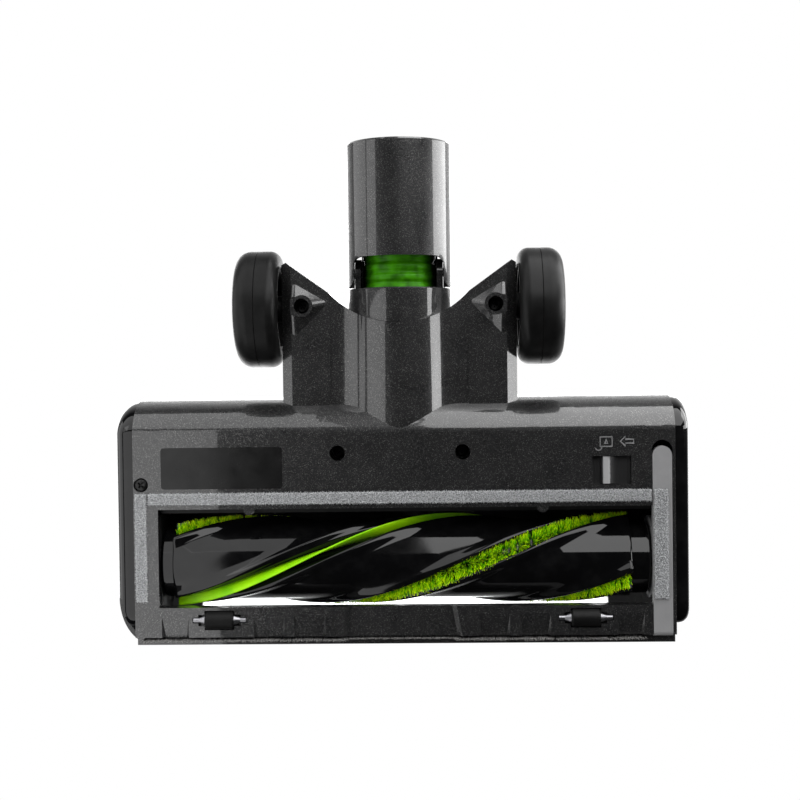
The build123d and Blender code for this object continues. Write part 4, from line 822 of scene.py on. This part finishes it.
def makeSleeve():
    points = []
    steps = hoseSleeve["steps"]
    turns = [math.radians(hoseSleeve["from"] + (hoseSleeve["to"] - hoseSleeve["from"]) * step / steps)
             for step in range(steps + 1)]
    for ring in range(hoseSleeve["rings"] + 1):
        y = hoseSleeve["start"] + (hoseSleeve["end"] - hoseSleeve["start"]) * ring / hoseSleeve["rings"]
        for radius in (hoseSleeve["outer"], hoseSleeve["inner"]):
            points += [(radius * math.cos(turn), y, hoseRibs["axisZ"] + radius * math.sin(turn)) for turn in turns]
    row = len(turns)
    loop = list(range(row)) + list(reversed(range(row, 2 * row)))
    count = len(loop)
    faces = []
    for start in range(0, hoseSleeve["rings"] * count, count):
        for a, b in zip(loop, loop[1:] + loop[:1]):
            faces.append((start + a, start + b, start + count + b, start + count + a))
    for step in range(steps):
        for base in (0, hoseSleeve["rings"] * count):
            faces.append((base + step, base + step + 1, base + row + step + 1, base + row + step))
    return outwardMesh("hose_sleeve", points, faces, mouldedBlack)


sleeve = addObject("hose_sleeve", makeSleeve())
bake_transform(sleeve)
print("hose sleeve made:", len(sleeve.data.polygons), "faces")


# screw heads with a cross recess
screwKind = {"headRadius": 2.9 * mm, "headHeight": 2.2 * mm, "crossLong": 3.4 * mm, "crossWide": 0.85 * mm,
             "crossDeep": 1.3 * mm, "crossProud": 0.5 * mm, "crossTaper": 0.45, "sides": 40, "firstTurn": 0.7,
             "turnStep": 0.9, "profile": ((0.0, 0.55), (0.10, 0.80), (0.25, 0.93), (0.5, 1.0), (0.98, 1.0),
                                          (1.0, 0.97))}  # share of the height and of the radius
screwSets = (("housing_screw_heads", "housing_screws", 1.0,
              ((0.0272, -0.0265, 0.0156), (-0.0272, -0.0265, 0.0156), (0.04245, 0.0377, 0.0156),
               (-0.04245, 0.0377, 0.0156))),
             ("end_cap_screw_head", "end_cap_screw", 1.06, ((0.1133, -0.0396, 0.0032),)))  # size, spots of the faces


def makeScrewHead():
    sides = screwKind["sides"]
    points = [(0.0, 0.0, 0.0)]
    faces = []
    for share, wide in screwKind["profile"]:
        radius = wide * screwKind["headRadius"]
        for step in range(sides):
            turn = 2 * math.pi * step / sides
            points.append((radius * math.cos(turn), radius * math.sin(turn), share * screwKind["headHeight"]))
    last = len(points) - sides
    for step in range(sides):
        after = (step + 1) % sides
        faces.append((0, 1 + after, 1 + step))
        for start in range(1, last, sides):
            faces.append((start + step, start + after, start + after + sides, start + step + sides))
    faces.append(tuple(range(last, len(points))))
    return addObject("screwHead", meshFrom("screwHead", points, faces))


def cutCross(head):
    long, wide = screwKind["crossLong"] / 2, screwKind["crossWide"] / 2
    taper = screwKind["crossTaper"]
    outline = ((long, wide), (wide, wide), (wide, long), (-wide, long), (-wide, wide), (-long, wide), (-long, -wide),
               (-wide, -wide), (-wide, -long), (wide, -long), (wide, -wide), (long, -wide))
    corners = [(x, y, -screwKind["crossProud"]) for x, y in outline]
    corners += [(taper * x, taper * y, screwKind["crossDeep"]) for x, y in outline]
    count = len(outline)
    walls = [(step, (step + 1) % count, (step + 1) % count + count, step + count) for step in range(count)]
    walls += [tuple(reversed(range(count))), tuple(range(count, 2 * count))]
    cross = addObject("screwCross", meshFrom("screwCross", corners, walls))
    cutter = head.modifiers.new("cross", "BOOLEAN")
    cutter.object = cross
    cutter.solver = "EXACT"
    graph = bpy.context.evaluated_depsgraph_get()
    cut = bpy.data.meshes.new_from_object(head.evaluated_get(graph))
    head.modifiers.clear()
    head.data = cut
    bpy.data.objects.remove(cross)


def makeScrewTree(sizes):
    tree, given = startTree("screwSet", sizes)
    scale, turn = [first(tree, "GeometryNodeInputNamedAttribute", {"Name": name}, data_type="FLOAT")
                   for name in ("size", "turn")]
    rolled = first(tree, "FunctionNodeEulerToRotation", {"Euler": joinXyz(tree, 0.0, 0.0, turn)})
    return finishTree(tree, given, plant(tree, given["Head"], given["Geometry"], rolled, scale))


screwHead = makeScrewHead()
cutCross(screwHead)
sizes = {"Head": screwHead, "Material": blackSteel}
screwTree = makeScrewTree(sizes)
for setName, node, scale, spots in screwSets:
    dots = meshFrom(setName, spots, [])
    turns = [screwKind["firstTurn"] + screwKind["turnStep"] * number for number in range(len(spots))]
    dots.attributes.new("size", "FLOAT", "POINT").data.foreach_set("value", [scale] * len(spots))
    dots.attributes.new("turn", "FLOAT", "POINT").data.foreach_set("value", turns)
    screws = growPiece(setName, screwTree, sizes, dots)
    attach(screws, "base")
    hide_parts(node)
    print("screws set:", setName, len(screws.data.polygons), "faces")
bpy.data.objects.remove(screwHead)


# leaf spring of the latch, bowed towards it and pressed flatter when the latch slides
leafSpring = {"centre": (-72.59, -35.05), "radius": 6.86, "strip": 0.5, "low": 5.7, "high": 7.7, "from": 63.7,
              "to": 296.3, "steps": 36, "foot": -69.55, "rise": 9.9, "travel": 3.5}  # in mm and degrees


def makeLeafSpring():
    outer, low, high = leafSpring["radius"], leafSpring["low"], leafSpring["high"]
    inner = outer - leafSpring["strip"]
    points = []
    for step in range(leafSpring["steps"] + 1):
        turn = math.radians(leafSpring["from"] + (leafSpring["to"] - leafSpring["from"]) * step / leafSpring["steps"])
        for radius, z in ((outer, low), (outer, high), (inner, high), (inner, low)):
            x = leafSpring["centre"][0] + radius * math.cos(turn)
            y = leafSpring["centre"][1] + radius * math.sin(turn)
            points.append((x * mm, y * mm, z * mm))
    return sweepMesh("latch_leaf_spring", points, 4, brightSteel)


leaf = addObject("latch_leaf_spring", makeLeafSpring())
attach(leaf, "base")
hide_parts("latch_spring")
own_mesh(leaf)
print("leaf spring made:", len(leaf.data.polygons), "faces")


# raised marks beside the latch, their grey being painted highlight along the lines; the outlines count Y from the
# head's front edge, in mm
rowShift = 106.5
markKind = {"line": 0.42 * mm, "height": 0.22 * mm, "sunk": 0.05 * mm, "sole": 3.0 * mm}
lockBody = [(-86.5, 85.8), (-91.6, 85.8), (-91.6, 81.7), (-86.5, 81.7)]
lockHole = [(-88.5, 82.9), (-89.1, 84.7), (-89.7, 82.9)]
lockBow = [(-87.2, 81.7), (-87.1, 80.8), (-86.5, 80.2), (-85.7, 80.0), (-84.9, 80.3), (-84.5, 81.0)]
arrowLine = [(-95.2, 83.85), (-97.4, 86.0), (-97.4, 84.7), (-100.9, 84.7), (-100.9, 83.0), (-97.4, 83.0), (-97.4, 81.7)]


def ribbon(points, faces, outline, closed):
    half = markKind["line"] / 2
    count = len(outline)
    spots = [Vector((x * mm, (y - rowShift) * mm)) for x, y in outline]
    rows = []
    for step, spotNow in enumerate(spots):
        before = spots[step - 1] if step or closed else spotNow
        after = spots[(step + 1) % count] if step < count - 1 or closed else spotNow
        way = (after - before).normalized()
        across = Vector((-way.y, way.x))
        came = (spotNow - before).normalized() if (spotNow - before).length > 0 else way
        share = max(0.5, abs(across.dot(Vector((-came.y, came.x)))))  # keeps the line's width round a corner
        rows.append((spotNow + across * half / share, spotNow - across * half / share))
    low = markKind["sole"] - markKind["height"]
    high = markKind["sole"] + markKind["sunk"]
    start = len(points)
    for a, b in rows:
        points += [(*a, high), (*a, low), (*b, low), (*b, high)]
    for step in range(count if closed else count - 1):
        one, two = start + 4 * step, start + 4 * ((step + 1) % count)
        for side in range(4):
            nextSide = (side + 1) % 4
            faces.append((one + side, one + nextSide, two + nextSide, two + side))
    if not closed:
        faces += [tuple(range(start, start + 4)), tuple(reversed(range(len(points) - 4, len(points))))]


points, faces = [], []
for outline, closed in ((lockBody, True), (lockHole, True), (lockBow, False), (arrowLine, True)):
    ribbon(points, faces, outline, closed)
latchMarks = addObject("latch_marks", outwardMesh("latch_marks", points, faces, markHighlightGrey))
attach(latchMarks, "base")

# bare plate on the sole, with Y counted the same way
plateKind = {"left": 104.4, "right": 51.3, "front": 64.9, "back": 83.0, "corner": 1.4, "cornerSteps": 6,
             "thickness": 0.12 * mm, "sunk": 0.02 * mm}


def makePlate():
    centreX = (plateKind["left"] + plateKind["right"]) / 2
    centreY = (plateKind["front"] + plateKind["back"]) / 2
    corner, steps = plateKind["corner"], plateKind["cornerSteps"]
    halfX = abs(plateKind["left"] - plateKind["right"]) / 2 - corner
    halfY = (plateKind["back"] - plateKind["front"]) / 2 - corner
    outline = []
    for signX, signY, start in ((1, 1, 0), (-1, 1, 90), (-1, -1, 180), (1, -1, 270)):
        for step in range(steps + 1):
            turn = math.radians(start + 90 * step / steps)
            outline.append((centreX + signX * halfX + corner * math.cos(turn),
                            centreY + signY * halfY + corner * math.sin(turn)))
    low = markKind["sole"] - plateKind["thickness"]
    high = markKind["sole"] + plateKind["sunk"]
    points = [(x * mm, (y - rowShift) * mm, z) for z in (low, high) for x, y in outline]
    return sweepMesh("bare_plate", points, len(outline), plateDark)


plate = addObject("bare_plate", makePlate())
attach(plate, "base")
print("marks and plate set")


# floor that isn't there when seen from below
floorKind = {"size": 3.0, "drop": 0.3 * mm, "color": (0.86, 0.86, 0.85), "dapple": 0.03, "dappleSize": 0.4,
             "roughness": 0.8}


def makeFloor():
    look, tree, shader = newLook("paleFloor")
    lighter = tuple(floorKind["dapple"] + level for level in floorKind["color"])
    dapple = ramp(tree, cloud(tree, floorKind["dappleSize"], 4.0), (0.3, floorKind["color"]), (0.7, lighter))
    fill(tree, shader, {"Base Color": dapple, "Roughness": floorKind["roughness"]})
    under = place(tree, "ShaderNodeNewGeometry").outputs["Backfacing"]
    away = first(tree, "ShaderNodeBsdfTransparent")
    mixed = first(tree, "ShaderNodeMixShader", {0: under, 1: shader.outputs[0], 2: away})
    fill(tree, tree.nodes["Material Output"], {"Surface": mixed})
    half = floorKind["size"] / 2
    corners = [(x * half, y * half, -floorKind["drop"]) for x, y in ((-1, -1), (1, -1), (1, 1), (-1, 1))]
    floor = addObject("floor", meshFrom("floor", corners, [(0, 1, 2, 3)]))
    floor.data.materials.append(look)
    floor.visible_shadow = False
    floor.visible_diffuse = False
    floor.visible_glossy = False
    return floor


floor = makeFloor()
floorApart = bpy.data.collections.new("floorApart")  # the side panels light the object alone
floorApart.objects.link(floor)
floorApart.collection_objects[0].light_linking.link_state = "EXCLUDE"

# white to the eye, a plain fill for matt faces, and for mirrors dark except towards the backdrop
studio = {"fill": 0.42, "dark": 0.015, "backdropStart": 0.38, "backdropFull": 0.92}


def makeWorld():
    world = bpy.data.worlds.new("studio")
    scene.world = world
    world.use_nodes = True
    tree = world.node_tree
    path = place(tree, "ShaderNodeLightPath").outputs
    facing = place(tree, "ShaderNodeTexCoord").outputs["Generated"]
    up = place(tree, "ShaderNodeSeparateXYZ", {"Vector": facing}).outputs["Z"]
    mirror = between(tree, up, studio["backdropStart"], studio["backdropFull"], studio["dark"], 1.0)
    shiny = calc(tree, "GREATER_THAN", path["Glossy Depth"], 0.5)
    soft = calc(tree, "GREATER_THAN", path["Diffuse Depth"], 0.5)
    straight = calc(tree, "SUBTRACT", path["Is Transmission Ray"], calc(tree, "MAXIMUM", shiny, soft))
    seen = calc(tree, "MAXIMUM", calc(tree, "MAXIMUM", path["Is Camera Ray"], straight), 0.0)
    through = times(tree, path["Is Transmission Ray"], shiny)
    glossy = calc(tree, "MAXIMUM", path["Is Glossy Ray"], through)
    mirrored = times(tree, glossy, mirror)
    rest = calc(tree, "SUBTRACT", 1.0, calc(tree, "MAXIMUM", seen, glossy))
    plain = times(tree, rest, studio["fill"])
    strength = plus(tree, calc(tree, "MAXIMUM", seen, mirrored), plain)
    fill(tree, tree.nodes["Background"], {"Strength": strength, "Color": (1.0, 1.0, 1.0, 1.0)})


makeWorld()

lamps = {"leftLow": {"place": (0.312, -0.38, -0.19), "facing": (0.0, 0.0, 1.0), "size": (0.40, 0.88), "glow": 1.8},
         "leftBack": {"place": (0.415, 0.18, -0.19), "facing": (0.0, 0.0, 1.0), "size": (0.36, 0.20), "glow": 1.8},
         "leftRear": {"place": (0.42, 0.45, -0.35), "facing": (0.0, -1.0, 0.0), "size": (0.68, 0.90), "glow": 1.8},
         "leftSide": {"place": (0.70, -0.05, 0.06), "facing": (-1.0, 0.0, 0.0), "size": (0.90, 0.50), "glow": 1.6},
         "rightRear": {"place": (-0.45, 0.45, -0.575), "facing": (0.0, -1.0, 0.0), "size": (0.90, 1.45), "glow": 3.9},
         "rightNeck": {"place": (-0.60, 0.029, 0.10), "facing": (1.0, 0.0, 0.0), "size": (0.118, 0.72), "glow": 7.5},
         "rightTube": {"place": (-0.60, 0.344, 0.22), "facing": (1.0, 0.0, 0.0), "size": (0.512, 0.56), "glow": 5.5},
         "overhead": {"place": (0.15, -0.10, 1.0), "facing": (0.0, 0.0, -1.0), "size": (1.1, 1.1), "glow": 2.2}}
for lampName, kind in lamps.items():
    lamp = bpy.data.lights.new(lampName, "AREA")
    lamp.shape = "RECTANGLE"
    lamp.size, lamp.size_y = kind["size"]
    lamp.energy = kind["glow"] * math.pi * kind["size"][0] * kind["size"][1]
    holder = addObject(lampName, lamp)
    holder.location = kind["place"]
    facing = Vector(kind["facing"])
    upright = Vector((0.0, 1.0, 0.0)) if abs(facing.z) > 0.5 else Vector((0.0, 0.0, 1.0))
    across = facing.cross(upright)
    holder.rotation_euler = Matrix((across, upright, -facing)).transposed().to_euler()
    holder.visible_camera = False
    if lampName != "overhead":
        holder.light_linking.receiver_collection = floorApart
print("lamps set:", len(lamps))

view = {"place": (-0.01856, 0.00976, -0.57776), "turn": (178.6469, -1.7769, -179.2635), "lens": 60.40,
        "sensor": 36.0, "near": 0.01}
eye = bpy.data.cameras.new("eye")
eye.lens = view["lens"]
eye.sensor_width = view["sensor"]
eye.clip_start = view["near"]
eyeHolder = addObject("eye", eye)
eyeHolder.location = view["place"]
eyeHolder.rotation_euler = Euler([math.radians(turn) for turn in view["turn"]])
scene.camera = eyeHolder
scene.view_settings.view_transform = "Standard"
